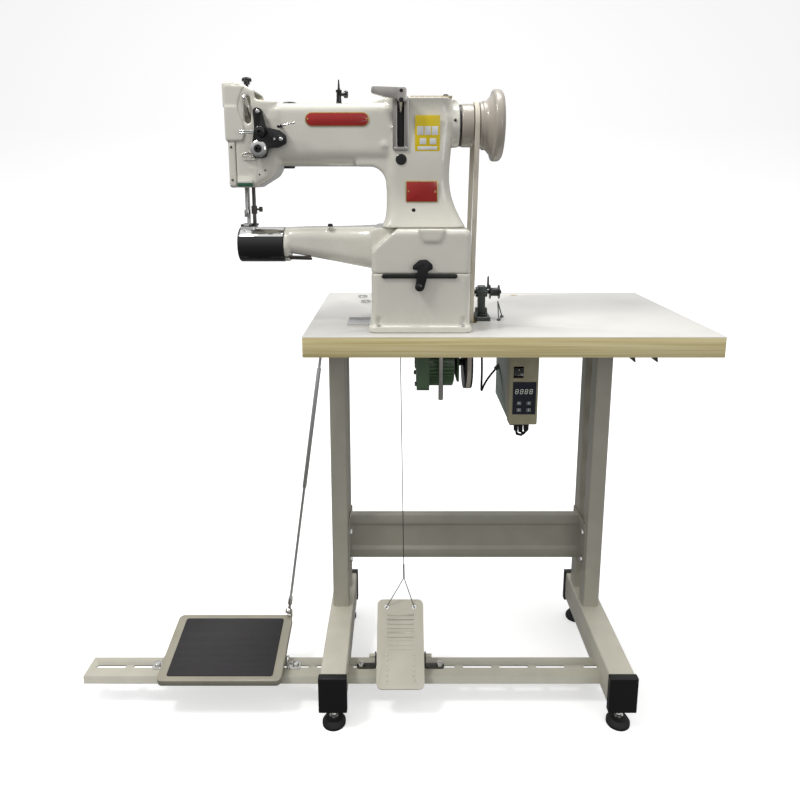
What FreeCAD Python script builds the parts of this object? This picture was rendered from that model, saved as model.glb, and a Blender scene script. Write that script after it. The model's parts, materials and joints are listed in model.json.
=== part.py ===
"""Cylinder-arm leather sewing machine on its table, floor stand, treadle and motor.

Lengths are millimetres. X runs to the right from the table's left edge, Y to the back from
its front edge, and Z up from a datum level FLOOR_Z below the floor. save() moves each piece
to the row frame, whose origin lies on the floor under the middle of the whole machine.
"""
import FreeCAD, Part
import math
import os

V = FreeCAD.Vector

# ---------------------------------------------------------------- driving dimensions
TABLE_W, TABLE_D, TABLE_T, TABLE_Z = 800.0, 500.0, 40.0, 875.0
TABLE_UNDER = TABLE_Z - TABLE_T
BAR_LEFT = -512.0                      # left end of the long floor bar
FLOOR_Z = 18.0
ORIGIN = V((TABLE_W + BAR_LEFT) / 2, TABLE_D / 2, FLOOR_Z)

POST = 38.0                            # side posts, square tube
POST_X = (23.0, 632.0)                 # left faces of the left and right posts
POST_Y = (243.0, 325.0)                # front faces of the front and rear posts
RUNNER_W, RUNNER_Z = 55.0, (69.0, 141.0)
RUNNER_X = (16.0, 626.0)
RUNNER_Y = (2.0, 398.0)
FOOT_Y = (24.0, 376.0)
BAR_Y, BAR_Z = (70.0, 130.0), (72.0, 92.0)
SLOT_LEN, SLOT_W, SLOT_PITCH, SLOT_FIRST = 66.0, 8.0, 82.0, -495.0
SLOT_COUNT = 13
END_SLOT = (596.0, 662.0)

MID_Y = 130.0                          # plane of the needle, the shafts and both arms
SHAFT_Z = 1269.0                       # upper (main) shaft
HOOK_Z = 1037.0                        # lower shaft and the round bed end
BASE_X, BASE_Y = (130.0, 320.0), (36.0, 224.0)
SPLIT_Z, BED_TOP = 990.0, 1074.0       # pedestal to bed joint, and the bed's top
ARM_Y, ARM_Z = (80.0, 180.0), (1191.0, 1308.0)
COLUMN_TOP = 1318.0
HEAD_X, HEAD_Y, HEAD_Z = (-128.0, -46.0), (82.0, 178.0), (1150.0, 1344.0)
FACE_X = -150.0                        # outer face of the left end cover
NEEDLE_X, PRESSER_X = -121.0, -107.0
WALK_Y = 143.0                         # walking foot's bar, behind the needle bar
BED_R, BED_WALL = 35.0, 4.0            # round bed end
GUARD_WALL = 3.0                       # fixed guard inside the turning hook cover
BED_END_X = (-133.0, -47.0)
PLATE_Z = HOOK_Z + BED_R + 1.0         # top of the throat plate
SHAFT_R, LOW_R, RUN = 10.0, 6.0, 0.05  # shaft radii and the running clearance in bores

BELT_X, BELT_W = 332.5, 9.0
WHEEL_PITCH_R, MOTOR_PITCH_R = 42.0, 55.0
MOTOR_Y, MOTOR_Z, MOTOR_R = 205.0, 770.0, 52.0
MAIN_PULLEY_R, TIMING_X = 30.0, (236.0, 250.0)

TREADLE_X, TREADLE_PIVOT, TREADLE_TILT = (-337.0, -70.0), V(0, 101, 108), 10.7
PEDAL_X, PEDAL_PIVOT, PEDAL_TILT = (134.0, 238.0), V(0, 105, 116), 43.9
PEDAL_HOLES = (154.5, 217.5)           # the two wire holes across the lift pedal
CROSS_Y, CROSS_Z, CROSS_R = 303.0, 795.0, 6.0
ROD_FOOT, ROD_HEAD = V(-78, 200, 160), V(4, 200, 795)
BOX_X, BOX_Y, BOX_Z = (432.0, 494.0), (240.0, 430.0), (622.0, 829.0)
FRONT_Y = 215.0                        # front face of the control box's cover
KEY_AT = [(453.0, 671.0), (475.0, 671.0), (453.0, 655.0), (475.0, 655.0)]
WINDER_Y, WINDER_Z, WINDER_R = 179.5, 931.0, 44.0
WINDER_PIVOT = (179.5, 889.0)
LEVER_PIVOT = (108.0, 1262.0)          # stitch length lever, ahead of the upper shaft
FLANGE_BOLTS = [(x, y) for x in (144.0, 306.0) for y in (BASE_Y[0] - 0.5, BASE_Y[1] + 0.5)]

CABLE_R = 2.6
CABLE_END = V(423, 384, 701)
GLAND_WAY = V(0.625, 0, 0.7806)        # direction of the box's slanted cable gland
MOTOR_CABLE = [V(236, 257, 800), V(236, 283, 800), V(250, 310, 816), V(286, 327, 824),
               V(326, 330, 823), V(364, 327, 806), V(380, 322, 768), V(381.5, 318.8, 721),
               V(381.5, 323.3, 676.3), V(384.3, 343, 656.6), V(391.4, 369.9, 659.4),
               CABLE_END - GLAND_WAY * 28, CABLE_END]


# ---------------------------------------------------------------- helpers
def box(x, y, z, along="", radius=0.0):
    """A block between pairs of limits, with the edges along the named axes rounded."""
    shape = Part.makeBox(x[1] - x[0], y[1] - y[0], z[1] - z[0], V(x[0], y[0], z[0]))
    if not along:
        return shape
    axes = {"X": V(1, 0, 0), "Y": V(0, 1, 0), "Z": V(0, 0, 1)}
    edges = [e for e in shape.Edges for a in along
             if abs((e.Vertexes[1].Point - e.Vertexes[0].Point).normalize() * axes[a]) > 0.99]
    return shape.makeFillet(radius, edges)


def rod(axis, span, at, radius):
    """A cylinder along X, Y or Z between two limits, centred on the other two values."""
    place = {"X": (V(span[0], *at), V(1, 0, 0)), "Y": (V(at[0], span[0], at[1]), V(0, 1, 0)),
             "Z": (V(*at, span[0]), V(0, 0, 1))}[axis]
    return Part.makeCylinder(radius, span[1] - span[0], *place)


def strut(start, end, radius):
    """A round bar from one point to another."""
    return Part.makeCylinder(radius, (end - start).Length, start, end - start)


def ring(axis, span, at, outer, inner):
    return rod(axis, span, at, outer).cut(rod(axis, (span[0] - 1, span[1] + 1), at, inner))


def outline(points, place):
    """A flat face from corners (u, v) or (u, v, radius); place maps u, v to a point."""
    corners = [(V(p[0], p[1], 0), p[2] if len(p) > 2 else 0.0) for p in points]
    edges, ends = [], []
    for i, (here, radius) in enumerate(corners):
        before, after = corners[i - 1][0] - here, corners[(i + 1) % len(corners)][0] - here
        before.normalize()
        after.normalize()
        if not radius:
            ends.append((here, None, here))
            continue
        half = before.getAngle(after) / 2
        middle = before + after
        middle.normalize()
        trim = radius / math.tan(half)
        centre = here + middle * (radius / math.sin(half))
        ends.append((here + before * trim, centre - middle * radius, here + after * trim))
    for i, (start, middle, end) in enumerate(ends):
        if middle is not None:
            edges.append(Part.Arc(place(start), place(middle), place(end)).toShape())
        nxt = ends[(i + 1) % len(ends)][0]
        if (nxt - end).Length > 1e-6:
            edges.append(Part.LineSegment(place(end), place(nxt)).toShape())
    return Part.Face(Part.Wire(Part.__sortEdges__(edges)))


def plate_xz(points, y):
    """An outline in the XZ plane, thick from y[0] to y[1]."""
    return outline(points, lambda p: V(p.x, y[0], p.y)).extrude(V(0, y[1] - y[0], 0))


def plate_yz(points, x):
    """An outline in the YZ plane, thick from x[0] to x[1]."""
    return outline(points, lambda p: V(x[0], p.x, p.y)).extrude(V(x[1] - x[0], 0, 0))


def plate_xy(points, z):
    """An outline in the XY plane, thick from z[0] to z[1]."""
    return outline(points, lambda p: V(p.x, p.y, z[0])).extrude(V(0, 0, z[1] - z[0]))


def turned_x(profile, at):
    """A solid turned about an X axis from (x, radius) points."""
    face = outline(profile, lambda p: V(p.x, at[0] + p.y, at[1]))
    return face.revolve(V(0, *at), V(1, 0, 0), 360)


def slab_loft(levels, radius):
    """A loft through rounded rectangles (x0, x1, y0, y1, z)."""
    wires = []
    for x0, x1, y0, y1, z in levels:
        corners = [(x0, y0, radius), (x1, y0, radius), (x1, y1, radius), (x0, y1, radius)]
        wires.append(outline(corners, lambda p, z=z: V(p.x, p.y, z)).OuterWire)
    return Part.makeLoft(wires, True, False)


def tube(points, radius, name):
    """A tube along straight runs joined by tangent arcs as large as the runs allow."""
    edges, last = [], points[0]
    for here, before, after in zip(points[1:-1], points[:-2], points[2:]):
        a, b = before - here, after - here
        short = min(a.Length, b.Length)
        a.normalize()
        b.normalize()
        half = a.getAngle(b) / 2
        trim = 0.45 * short
        middle = a + b
        middle.normalize()
        bend = trim * math.tan(half)
        centre = here + middle * (bend / math.sin(half))
        print(f"{name}: bend radius {bend:.0f} mm")
        edges.append(Part.LineSegment(last, here + a * trim).toShape())
        edges.append(Part.Arc(here + a * trim, centre - middle * bend, here + b * trim).toShape())
        last = here + b * trim
    edges.append(Part.LineSegment(last, points[-1]).toShape())
    path = Part.Wire(edges)
    start = Part.Wire(Part.makeCircle(radius, points[0], points[1] - points[0]))
    shape = path.makePipeShell([start], True, True)
    print(f"{name}: length {path.Length:.0f} mm, volume ratio "
          f"{shape.Volume / (math.pi * radius ** 2 * path.Length):.3f}")
    return shape


def fuse(*shapes):
    return shapes[0].multiFuse(list(shapes[1:])).removeSplitter()


def group(*shapes):
    """Separate solids kept in one node."""
    return Part.makeCompound(list(shapes))


def cut(shape, *tools):
    for tool in tools:
        shape = shape.cut(tool)
    return shape


def tilted(shape, pivot, degrees):
    """The shape turned about an X axis through pivot, its far side upwards."""
    shape = shape.copy()
    shape.rotate(pivot, V(1, 0, 0), degrees)
    return shape


def hexagon(axis, span, at, across):
    """A hexagonal bolt head or nut with the given width across flats."""
    r = across / math.sqrt(3)
    corner = [(r * math.cos(math.radians(a)), r * math.sin(math.radians(a))) for a in range(0, 360, 60)]
    shift = [(at[0] + u, at[1] + v) for u, v in corner]
    return {"X": plate_yz, "Y": plate_xz, "Z": plate_xy}[axis](shift, span)


def save(name, shape):
    shape = shape.copy()
    shape.translate(ORIGIN * -1)
    shape.exportStep(f"parts/{name}.step")
    size = shape.BoundBox
    print(f"{name:22s} solids {len(shape.Solids):3d} valid {shape.isValid()} {size.XLength:7.1f}"
          f" x {size.YLength:6.1f} x {size.ZLength:6.1f}")


# ---------------------------------------------------------------- table and stand
def table_top():
    board = box((0, TABLE_W), (0, TABLE_D), (TABLE_UNDER, TABLE_Z), "Z", 4)
    belt_slot = box((320, 345), (124, 272), (TABLE_UNDER - 1, TABLE_Z + 1), "Z", 10)
    base_hole = box((160, 262), (90, 190), (TABLE_UNDER - 1, TABLE_Z + 1), "Z", 12)
    stand_hole = rod("Z", (TABLE_UNDER - 1, TABLE_Z + 1), (477, 461), 9)
    return cut(board, belt_slot, base_hole, stand_hole)


def posts(x):
    """One side's two posts, the zigzag lattice between them and the rail under the table."""
    front, rear = POST_Y
    z = (RUNNER_Z[1], TABLE_UNDER - 6)
    tubes = [box((x, x + POST), (y, y + POST), z, "Z", 4) for y in POST_Y]
    rail = box((x - 4, x + POST + 4), (60, 440), (TABLE_UNDER - 6, TABLE_UNDER))
    mid = x + POST / 2
    gap = (front + POST - 2, rear + 2)
    pitch, low, count = 101.0, 158.0, 6
    rods = []
    for i in range(count):
        base = low + i * pitch
        rods.append(strut(V(mid, gap[0], base), V(mid, gap[1], base + pitch / 2), 4))
        rods.append(strut(V(mid, gap[1], base + pitch / 2), V(mid, gap[0], base + pitch), 4))
    return fuse(*tubes, rail, *rods)


def runner(x):
    """A floor runner of rectangular tube, notched from below where the floor bar crosses."""
    span = (x, x + RUNNER_W)
    shape = box(span, RUNNER_Y, RUNNER_Z, "Y", 4)
    wall = 3
    inside = box((x + wall, x + RUNNER_W - wall), (RUNNER_Y[0] - 1, RUNNER_Y[1] + 1),
                 (RUNNER_Z[0] + wall, RUNNER_Z[1] - wall))
    notch = box((x - 1, x + RUNNER_W + 1), (BAR_Y[0] - 0.2, BAR_Y[1] + 0.2), (RUNNER_Z[0] - 1, BAR_Z[1]))
    feet = [rod("Z", (RUNNER_Z[0] - 1, RUNNER_Z[0] + 5), (x + RUNNER_W / 2, y), 5) for y in FOOT_Y]
    return cut(shape, inside, notch, *feet)


def runner_caps():
    """Black plastic caps over the four runner ends."""
    caps = []
    for x in RUNNER_X:
        for outer, inner in ((0.0, RUNNER_Y[0]), (RUNNER_Y[1] + 2, RUNNER_Y[1])):
            y = sorted((outer, outer + (16 if outer < inner else -16)))
            shell = box((x - 2.5, x + RUNNER_W + 2.5), y, (RUNNER_Z[0] - 8, RUNNER_Z[1] + 2.5), "XYZ", 2.4)
            hollow = sorted((inner, inner + (20 if outer < inner else -20)))
            caps.append(shell.cut(box((x, x + RUNNER_W), hollow, RUNNER_Z)))
    return group(*caps)


def levelling_feet():
    feet = []
    for x in RUNNER_X:
        for y in FOOT_Y:
            at = (x + RUNNER_W / 2, y)
            disc = Part.makeCone(25, 19, 9, V(*at, FLOOR_Z + 6), V(0, 0, 1))
            feet.append(fuse(rod("Z", (FLOOR_Z, FLOOR_Z + 6), at, 25), disc,
                             rod("Z", (FLOOR_Z + 10, RUNNER_Z[0] + 3), at, 4.9),
                             hexagon("Z", (FLOOR_Z + 15, FLOOR_Z + 22), at, 17),
                             hexagon("Z", (RUNNER_Z[0] - 6, RUNNER_Z[0]), at, 13)))
    return group(*feet)


def crossbeam():
    """Folded sheet beam between the side frames, with tabs bolted inside the posts."""
    z0, z1, y, t = 235.0, 349.0, 305.0, 3.0
    x = (POST_X[0] + POST, POST_X[1])
    profile = [(y, z0), (y + 22, z0), (y + 22, z0 + t), (y + t, z0 + t), (y + t, z0 + 22),
               (y + t + 5, z0 + 30), (y + t + 5, z1 - 30), (y + t, z1 - 22), (y + t, z1 - t),
               (y + 22, z1 - t), (y + 22, z1), (y, z1), (y, z1 - 22), (y + 5, z1 - 30), (y + 5, z0 + 30),
               (y, z0 + 22)]
    web = plate_yz(profile, x)
    tabs = [box((side, side + t), (POST_Y[0] + 4, POST_Y[1] + POST - 4), (z0, z1))
            for side in (x[0], x[1] - t)]
    return fuse(web, *tabs)


def floor_bar():
    """Channel, open below, with a row of slots for the pedal brackets."""
    x = (BAR_LEFT, RUNNER_X[1] + RUNNER_W - 4)
    shape = box(x, BAR_Y, BAR_Z, "X", 2)
    inside = box((x[0] + 3, x[1] - 3), (BAR_Y[0] + 3, BAR_Y[1] - 3), (BAR_Z[0] - 1, BAR_Z[1] - 3))
    slots = []
    spans = [(SLOT_FIRST + i * SLOT_PITCH, SLOT_FIRST + i * SLOT_PITCH + SLOT_LEN) for i in range(SLOT_COUNT)]
    for span in spans + [END_SLOT]:
        slots.append(box(span, (100 - SLOT_W / 2, 100 + SLOT_W / 2),
                         (BAR_Z[0], BAR_Z[1] + 1), "Z", SLOT_W / 2 - 0.01))
    return cut(shape, inside, *slots)


def under_table_brackets():
    """Cross shaft bearings, two angled tabs under the right overhang, and the motor bracket."""
    pieces = []
    for x in (66.0, 372.0):
        ear = plate_yz([(CROSS_Y - 16, TABLE_UNDER - 4), (CROSS_Y - 16, CROSS_Z, 6),
                        (CROSS_Y - 8, CROSS_Z - 14, 8), (CROSS_Y + 8, CROSS_Z - 14, 8),
                        (CROSS_Y + 16, CROSS_Z, 6), (CROSS_Y + 16, TABLE_UNDER - 4)], (x, x + 5))
        foot = box((x, x + 23), (CROSS_Y - 16, CROSS_Y + 16), (TABLE_UNDER - 4, TABLE_UNDER))
        pieces.append(cut(fuse(ear, foot), rod("X", (x - 1, x + 6), (CROSS_Y, CROSS_Z), CROSS_R + RUN)))
    for x in (686.0, 735.0):
        flat = box((x, x + 26), (190, 222), (TABLE_UNDER - 3, TABLE_UNDER))
        drop = plate_xz([(x, TABLE_UNDER - 3), (x + 12, TABLE_UNDER - 62), (x + 15, TABLE_UNDER - 62),
                         (x + 4, TABLE_UNDER - 3)], (190, 222))
        pieces.append(fuse(flat, drop))
    return group(*pieces, motor_bracket())


# ---------------------------------------------------------------- machine castings
def lower_base():
    """Hollow pedestal with a bolted flange, open below over the hole in the table."""
    body = box(BASE_X, BASE_Y, (TABLE_Z, SPLIT_Z), "Z", 12)
    flange = box((BASE_X[0] - 6, BASE_X[1] + 4), (BASE_Y[0] - 5, BASE_Y[1] + 5), (TABLE_Z, TABLE_Z + 13),
                 "Z", 14)
    hollow = box((BASE_X[0] + 8, BASE_X[1] - 8), (BASE_Y[0] + 8, BASE_Y[1] - 8),
                 (TABLE_Z - 1, SPLIT_Z + 1), "Z", 6)
    pockets = [rod("Z", (TABLE_Z + 13, TABLE_Z + 32), at, 5.5) for at in FLANGE_BOLTS]
    return cut(fuse(body, flange), hollow, *pockets)


def upper_base():
    """Bed casting: the box under the column and the tapering cylinder arm to the left."""
    z = (SPLIT_Z, BED_TOP)
    crown = box(BASE_X, BASE_Y, (z[0] - 30, z[1]), "Z", 12)
    rim = [e for e in crown.Edges if min(v.Z for v in e.Vertexes) > z[1] - 0.1]
    crown = crown.makeFillet(11, rim).common(box((0, 400), (0, 300), z))
    taper = []
    for x, y0, y1, z0, z1, r in ((-36, 98, 162, 1020, 1071, 20), (40, 94, 166, 1007, 1073, 22),
                                 (112, 84, 176, 994, 1074, 24), (136, 76, 184, 991, 1075, 24)):
        corners = [(y0, z0, r), (y1, z0, r), (y1, z1, r), (y0, z1, r)]
        taper.append(outline(corners, lambda p, x=x: V(x, p.x, p.y)).OuterWire)
    arm = Part.makeLoft(taper, True, False)
    collar = rod("X", (BED_END_X[1] + 0.3, -36), (MID_Y, HOOK_Z), BED_R - 0.5)
    shoulder = plate_xz([(BASE_X[0] - 1, 1028), (BASE_X[0] - 1, z[1] + 1), (180, z[1] + 1)],
                        (BASE_Y[0] - 1, 74))
    shape = fuse(cut(crown, shoulder), arm, collar)
    well = box((BASE_X[0] + 30, BASE_X[1] - 20), (84, 176), (z[0] - 1, z[1] + 1), "Z", 8)
    under = box((BASE_X[0] + 9, BASE_X[1] - 9), (BASE_Y[0] + 9, BASE_Y[1] - 9), (z[0] - 1, 1018), "Z", 6)
    tunnel = rod("X", (-33, BASE_X[0] + 40), (MID_Y, HOOK_Z), 19)
    bearing = rod("X", (-50, BASE_X[1] + 1), (MID_Y, HOOK_Z), LOW_R + RUN)
    return cut(shape, well, under, tunnel, bearing)


def column_solid():
    return slab_loft([(148, 312, 60, 200, BED_TOP), (157, 300, 68, 192, 1096), (159, 286, 75, 185, 1130),
                      (160, 280, 75, 185, 1175), (160, 284, 75, 185, 1240),
                      (160, 282, 77, 183, COLUMN_TOP)], 20)


def arm_casting():
    """Column, horizontal arm, needle head and the hub that the handwheel runs against."""
    arm = plate_yz([(ARM_Y[0], ARM_Z[0], 34), (ARM_Y[1], ARM_Z[0], 34), (ARM_Y[1], ARM_Z[1], 18),
                    (ARM_Y[0], ARM_Z[1], 18)], (-60, 180))
    web = plate_xz([(100, ARM_Z[0] + 30), (200, ARM_Z[0] + 30), (200, 1150), (158, 1150), (158, ARM_Z[0], 34),
                    (100, ARM_Z[0])], (ARM_Y[0] + 6, ARM_Y[1] - 6))
    ramp = plate_xz([(110, 1290), (175, 1290), (175, COLUMN_TOP), (160, COLUMN_TOP, 8),
                     (110, ARM_Z[1] - 1)], (92, 168))
    hub = rod("X", (268, 300), (MID_Y, SHAFT_Z), 42)
    flare = Part.makeCone(52, 42, 14, V(272, MID_Y, SHAFT_Z), V(1, 0, 0))
    flare = flare.common(box((260, 300), (60, 200), (1200, COLUMN_TOP)))
    head = plate_xz([(HEAD_X[0], HEAD_Z[0]), (-94, HEAD_Z[0], 8), (-58, 1172, 25),
                     (HEAD_X[1], 1196, 10), (HEAD_X[1], 1311),
                     (-88, 1314), (-90, 1331, 4), (-116, HEAD_Z[1], 5), (HEAD_X[0], HEAD_Z[1])], HEAD_Y)
    corners = [e.BoundBox for e in head.Edges]
    right = [e for e, b in zip(head.Edges, corners) if b.YLength < 0.1 and b.XMax > -93 and b.ZMax < 1311.5]
    head = head.makeFillet(9, right)
    shape = fuse(column_solid(), arm, web, ramp, hub, flare, head)
    arm_room = box((-48, 190), (92, 168), (1205, 1297), "X", 18)
    column_room = box((172, 268), (86, 174), (BED_TOP - 1, 1313), "Z", 8)
    head_room = fuse(box((HEAD_X[0] - 1, -60), (HEAD_Y[0] + 9, HEAD_Y[1] - 9), (1196, 1328), "Z", 6),
                     box((HEAD_X[0] - 1, -76), (HEAD_Y[0] + 9, HEAD_Y[1] - 9), (1170, 1200), "Z", 6))
    shaft = rod("X", (-70, 301), (MID_Y, SHAFT_Z), SHAFT_R + RUN)
    bars = [rod("Z", (1149, 1172), (NEEDLE_X, MID_Y), 3.6 + RUN),
            rod("Z", (1149, 1172), (PRESSER_X, MID_Y), 3.6 + RUN),
            rod("Z", (1149, 1172), (NEEDLE_X, WALK_Y), 3.2 + RUN)]
    take_up_slot = box((-109, -97), (HEAD_Y[0] - 1, HEAD_Y[0] + 10), (1270, 1320))
    knob_screw = rod("Z", (1320, 1350), (-125 + 13, MID_Y), 3 + RUN)
    lever_slot = box((180, 192), (70, 90), (1222, 1314))
    shape = cut(shape, arm_room, column_room, head_room, shaft, *bars, take_up_slot, knob_screw, lever_slot)
    boss = cut(box((-122, -112), (HEAD_Y[0] + 8, 124), (1277, 1293)),
               rod("X", (-123, -111), (116, 1285), 3 + RUN))
    lever_boss = cut(box((171, 179), (84, 119), (LEVER_PIVOT[1] - 11, LEVER_PIVOT[1] + 11)),
                     rod("X", (170, 180), LEVER_PIVOT, 4 + RUN))
    return fuse(shape, boss, lever_boss)


def face_plate():
    """Dished cover on the left end of the head."""
    side = [(HEAD_Y[0], HEAD_Z[0], 6), (HEAD_Y[1], HEAD_Z[0], 6), (HEAD_Y[1], HEAD_Z[1] + 2, 26),
            (HEAD_Y[0], HEAD_Z[1] + 2, 26)]
    shape = plate_yz(side, (FACE_X, HEAD_X[0]))
    rim = [e for e in shape.Edges if e.BoundBox.XMax < FACE_X + 0.1]
    shape = shape.makeFillet(5, rim)
    room = box((FACE_X + 5, HEAD_X[0] + 1), (HEAD_Y[0] + 8, HEAD_Y[1] - 8),
               (HEAD_Z[0] + 12, HEAD_Z[1] - 12), "X", 10)
    return shape.cut(room)


def top_cover():
    plate = box((203, 284), (90, 172), (COLUMN_TOP, COLUMN_TOP + 3), "Z", 5)
    screw = rod("Z", (COLUMN_TOP + 3, COLUMN_TOP + 6), (272, 104), 5)
    return fuse(plate, screw)


def stitch_slot_plate():
    plate = box((171, 201), (71, 77), (1219, 1318), "Y", 5)
    slot = box((179.2, 192.8), (70, 78), (1226, 1312), "Y", 2)
    return cut(plate, slot, column_solid())


def label_plates():
    """Two riveted metal plates, a long rounded one on the arm and an oblong, and a label."""
    long_plate = box((6, 127), (ARM_Y[0] - 1.2, ARM_Y[0]), (1264, 1290), "Y", 12.9)
    oblong = box((196, 257), (72.2, 77), (1123, 1163), "Y", 2)
    label = box((213, 260), (73.2, 77), (1218, 1284), "Y", 2)
    return group(long_plate, *[piece.cut(column_solid()) for piece in (oblong, label)])


def caps_and_strip():
    """Black trim: the strip along the split, two oil caps and the round plug."""
    strip = box((150, 294), (BASE_Y[0] - 3.5, BASE_Y[0]), (SPLIT_Z - 9, SPLIT_Z - 0.5), "Y", 4.2)
    top_cap = rod("Z", (ARM_Z[1], ARM_Z[1] + 6), (-30, MID_Y), 13)
    under_cap = rod("Z", (ARM_Z[0] - 4, ARM_Z[0]), (-34, MID_Y), 11)
    plug = rod("Y", (72.2, 77), (187, 1203), 10.5).cut(column_solid())
    return group(strip, top_cap, under_cap, plug)


def thread_guides():
    """Thread post on the arm and the silver thread pins on the head."""
    post = rod("Z", (ARM_Z[1], 1335), (66, MID_Y), 6)
    spike = fuse(post, rod("Z", (1335, 1356), (66, MID_Y), 3), rod("X", (66, 82), (MID_Y, 1328), 4),
                 rod("X", (76, 84), (MID_Y, 1328), 7))
    left = fuse(rod("X", (-114, -88), (64, 1253), 3), box((-92, -87.5), (61, 68), (1250, 1256)))
    right = fuse(strut(V(-44, 66, 1263), V(-12, 60, 1269), 2.2), rod("Y", (63, ARM_Y[0]), (-40, 1264), 3))
    eye = ring("Y", (HEAD_Y[0] - 3, HEAD_Y[0]), (-106, 1209), 8, 4)
    return group(spike, left, right, eye)


def tension_plate():
    """Black three-cornered plate on stand-off bosses, carrying both thread tensions."""
    y = (68.0, 72.0)
    arm = plate_xz([(-90, 1292, 7), (-84, 1300, 7), (-72, 1292, 7), (-66, 1262, 6), (-40, 1256, 8),
                    (-28, 1246, 8), (-28, 1232, 8), (-44, 1224, 8), (-62, 1224, 6), (-66, 1206, 8),
                    (-92, 1204, 8), (-94, 1226, 8), (-88, 1262, 6)], y)
    bosses = [rod("Y", (72, HEAD_Y[0]), at, 7) for at in ((-80, 1290), (-80, 1222))]
    bosses.append(rod("Y", (72, ARM_Y[0]), (-38, 1240), 7))
    caps = [rod("Y", (64, 68), at, 6) for at in ((-80, 1290), (-38, 1240))]
    studs = [rod("Y", (40, 68), at, 3) for at in ((-74, 1253), (-79, 1222))]
    return fuse(arm, *bosses, *caps, *studs)


def tension(at, disc_r, knob_r, front):
    """Pair of dished discs with a knurled thumb nut, bored for its stud."""
    discs = fuse(rod("Y", (60.6, 62.4), at, disc_r), rod("Y", (64.2, 66), at, disc_r),
                 rod("Y", (60.6, 66), at, disc_r * 0.6))
    collar = rod("Y", (front + 4, 60.6), at, knob_r * 0.6)
    knob = rod("Y", (front, front + 10), at, knob_r)
    teeth = []
    for i in range(12):
        a = math.radians(30 * i)
        tooth = (at[0] + knob_r * math.cos(a), at[1] + knob_r * math.sin(a))
        teeth.append(rod("Y", (front + 1, front + 9), tooth, 1.3))
    return cut(fuse(discs, collar, knob, *teeth), rod("Y", (front - 1, 67), at, 3 + RUN))


# ---------------------------------------------------------------- drive
def main_shaft():
    """Upper shaft with the crank disc at the needle end and the timing pulley in the column."""
    axis = (MID_Y, SHAFT_Z)
    crank = rod("X", (-88, -66), axis, 22)
    pin = rod("X", (-96, -88), (MID_Y, SHAFT_Z - 14), 4)
    pulley = turned_x([(TIMING_X[0] - 3, 0), (TIMING_X[0] - 3, MAIN_PULLEY_R + 4),
                       (TIMING_X[0] - 0.5, MAIN_PULLEY_R + 4), (TIMING_X[0] - 0.5, MAIN_PULLEY_R),
                       (TIMING_X[1] + 0.5, MAIN_PULLEY_R), (TIMING_X[1] + 0.5, MAIN_PULLEY_R + 4),
                       (TIMING_X[1] + 3, MAIN_PULLEY_R + 4), (TIMING_X[1] + 3, 0)], axis)
    return fuse(rod("X", (-66, 372), axis, SHAFT_R), crank, pin, pulley)


def handwheel():
    """Handwheel with its smooth band, belt groove, stepped flange and rounded rim."""
    groove = (BELT_X - 6.5, BELT_X + 6.5)
    profile = [(303, SHAFT_R), (303, 41, 1.5), (groove[0], 41), (groove[0] + 2, 35.5),
               (groove[1] - 2, 35.5), (groove[1], 44), (344, 44, 1), (345, 46.5, 1), (352, 46.5, 1),
               (356, 52, 3), (362, 57, 5), (364, 68.5, 4), (379, 68.5, 6), (383, 58, 4), (374, 48, 6),
               (368, 24, 5), (384, 22, 2), (384, 10.5, 1), (373, 10.5), (373, SHAFT_R)]
    return turned_x(profile, (MID_Y, SHAFT_Z))


def lower_shaft():
    axis = (MID_Y, HOOK_Z)
    small = MAIN_PULLEY_R / 2
    pulley = turned_x([(TIMING_X[0] - 3, 0), (TIMING_X[0] - 3, small + 4), (TIMING_X[0] - 0.5, small + 4),
                       (TIMING_X[0] - 0.5, small), (TIMING_X[1] + 0.5, small), (TIMING_X[1] + 0.5, small + 4),
                       (TIMING_X[1] + 3, small + 4), (TIMING_X[1] + 3, 0)], axis)
    return fuse(rod("X", (-98, BASE_X[1] - 2), axis, LOW_R), pulley)


def rotary_hook():
    """Cup-shaped hook with its pointed blade, carrying the bobbin case inside."""
    axis = (MID_Y, HOOK_Z)
    cup = turned_x([(-98, LOW_R), (-98, 20, 2), (-122, 20), (-122, 15.5), (-102, 15.5), (-102, LOW_R)], axis)
    hub = ring("X", (-98, -84), axis, 11, LOW_R)
    gap = box((-123, -112), (MID_Y + 4, MID_Y + 30), (HOOK_Z + 2, HOOK_Z + 12))
    return cut(fuse(cup, hub), gap)


def bobbin_case():
    axis = (MID_Y, HOOK_Z)
    case = fuse(rod("X", (-120, -103), axis, 15), rod("X", (-124, -120), axis, 9))
    latch = box((-126, -124), (MID_Y - 3, MID_Y + 3), (HOOK_Z - 8, HOOK_Z + 8))
    return fuse(case, latch)


def belt_hull(x, upper, lower):
    """Solid outline of a belt round two wheels, each given as (y, z, radius)."""
    (y1, z1, r1), (y2, z2, r2) = upper, lower
    gap = math.hypot(y2 - y1, z2 - z1)
    lean = math.atan2(z2 - z1, y2 - y1)
    turn = math.acos((r1 - r2) / gap)
    touch = []
    for sign in (1, -1):
        a = lean + sign * turn
        touch.append([(y1 + r1 * math.cos(a), z1 + r1 * math.sin(a)),
                      (y2 + r2 * math.cos(a), z2 + r2 * math.sin(a))])
    quad = [touch[0][0], touch[0][1], touch[1][1], touch[1][0]]
    return fuse(plate_yz(quad, x), rod("X", x, (y1, z1), r1), rod("X", x, (y2, z2), r2))


def belt(x, upper, lower, thick):
    inner = belt_hull((x[0] - 1, x[1] + 1), upper, lower)
    outer = [(y, z, r + thick) for y, z, r in (upper, lower)]
    return belt_hull(x, *outer).cut(inner)


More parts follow.
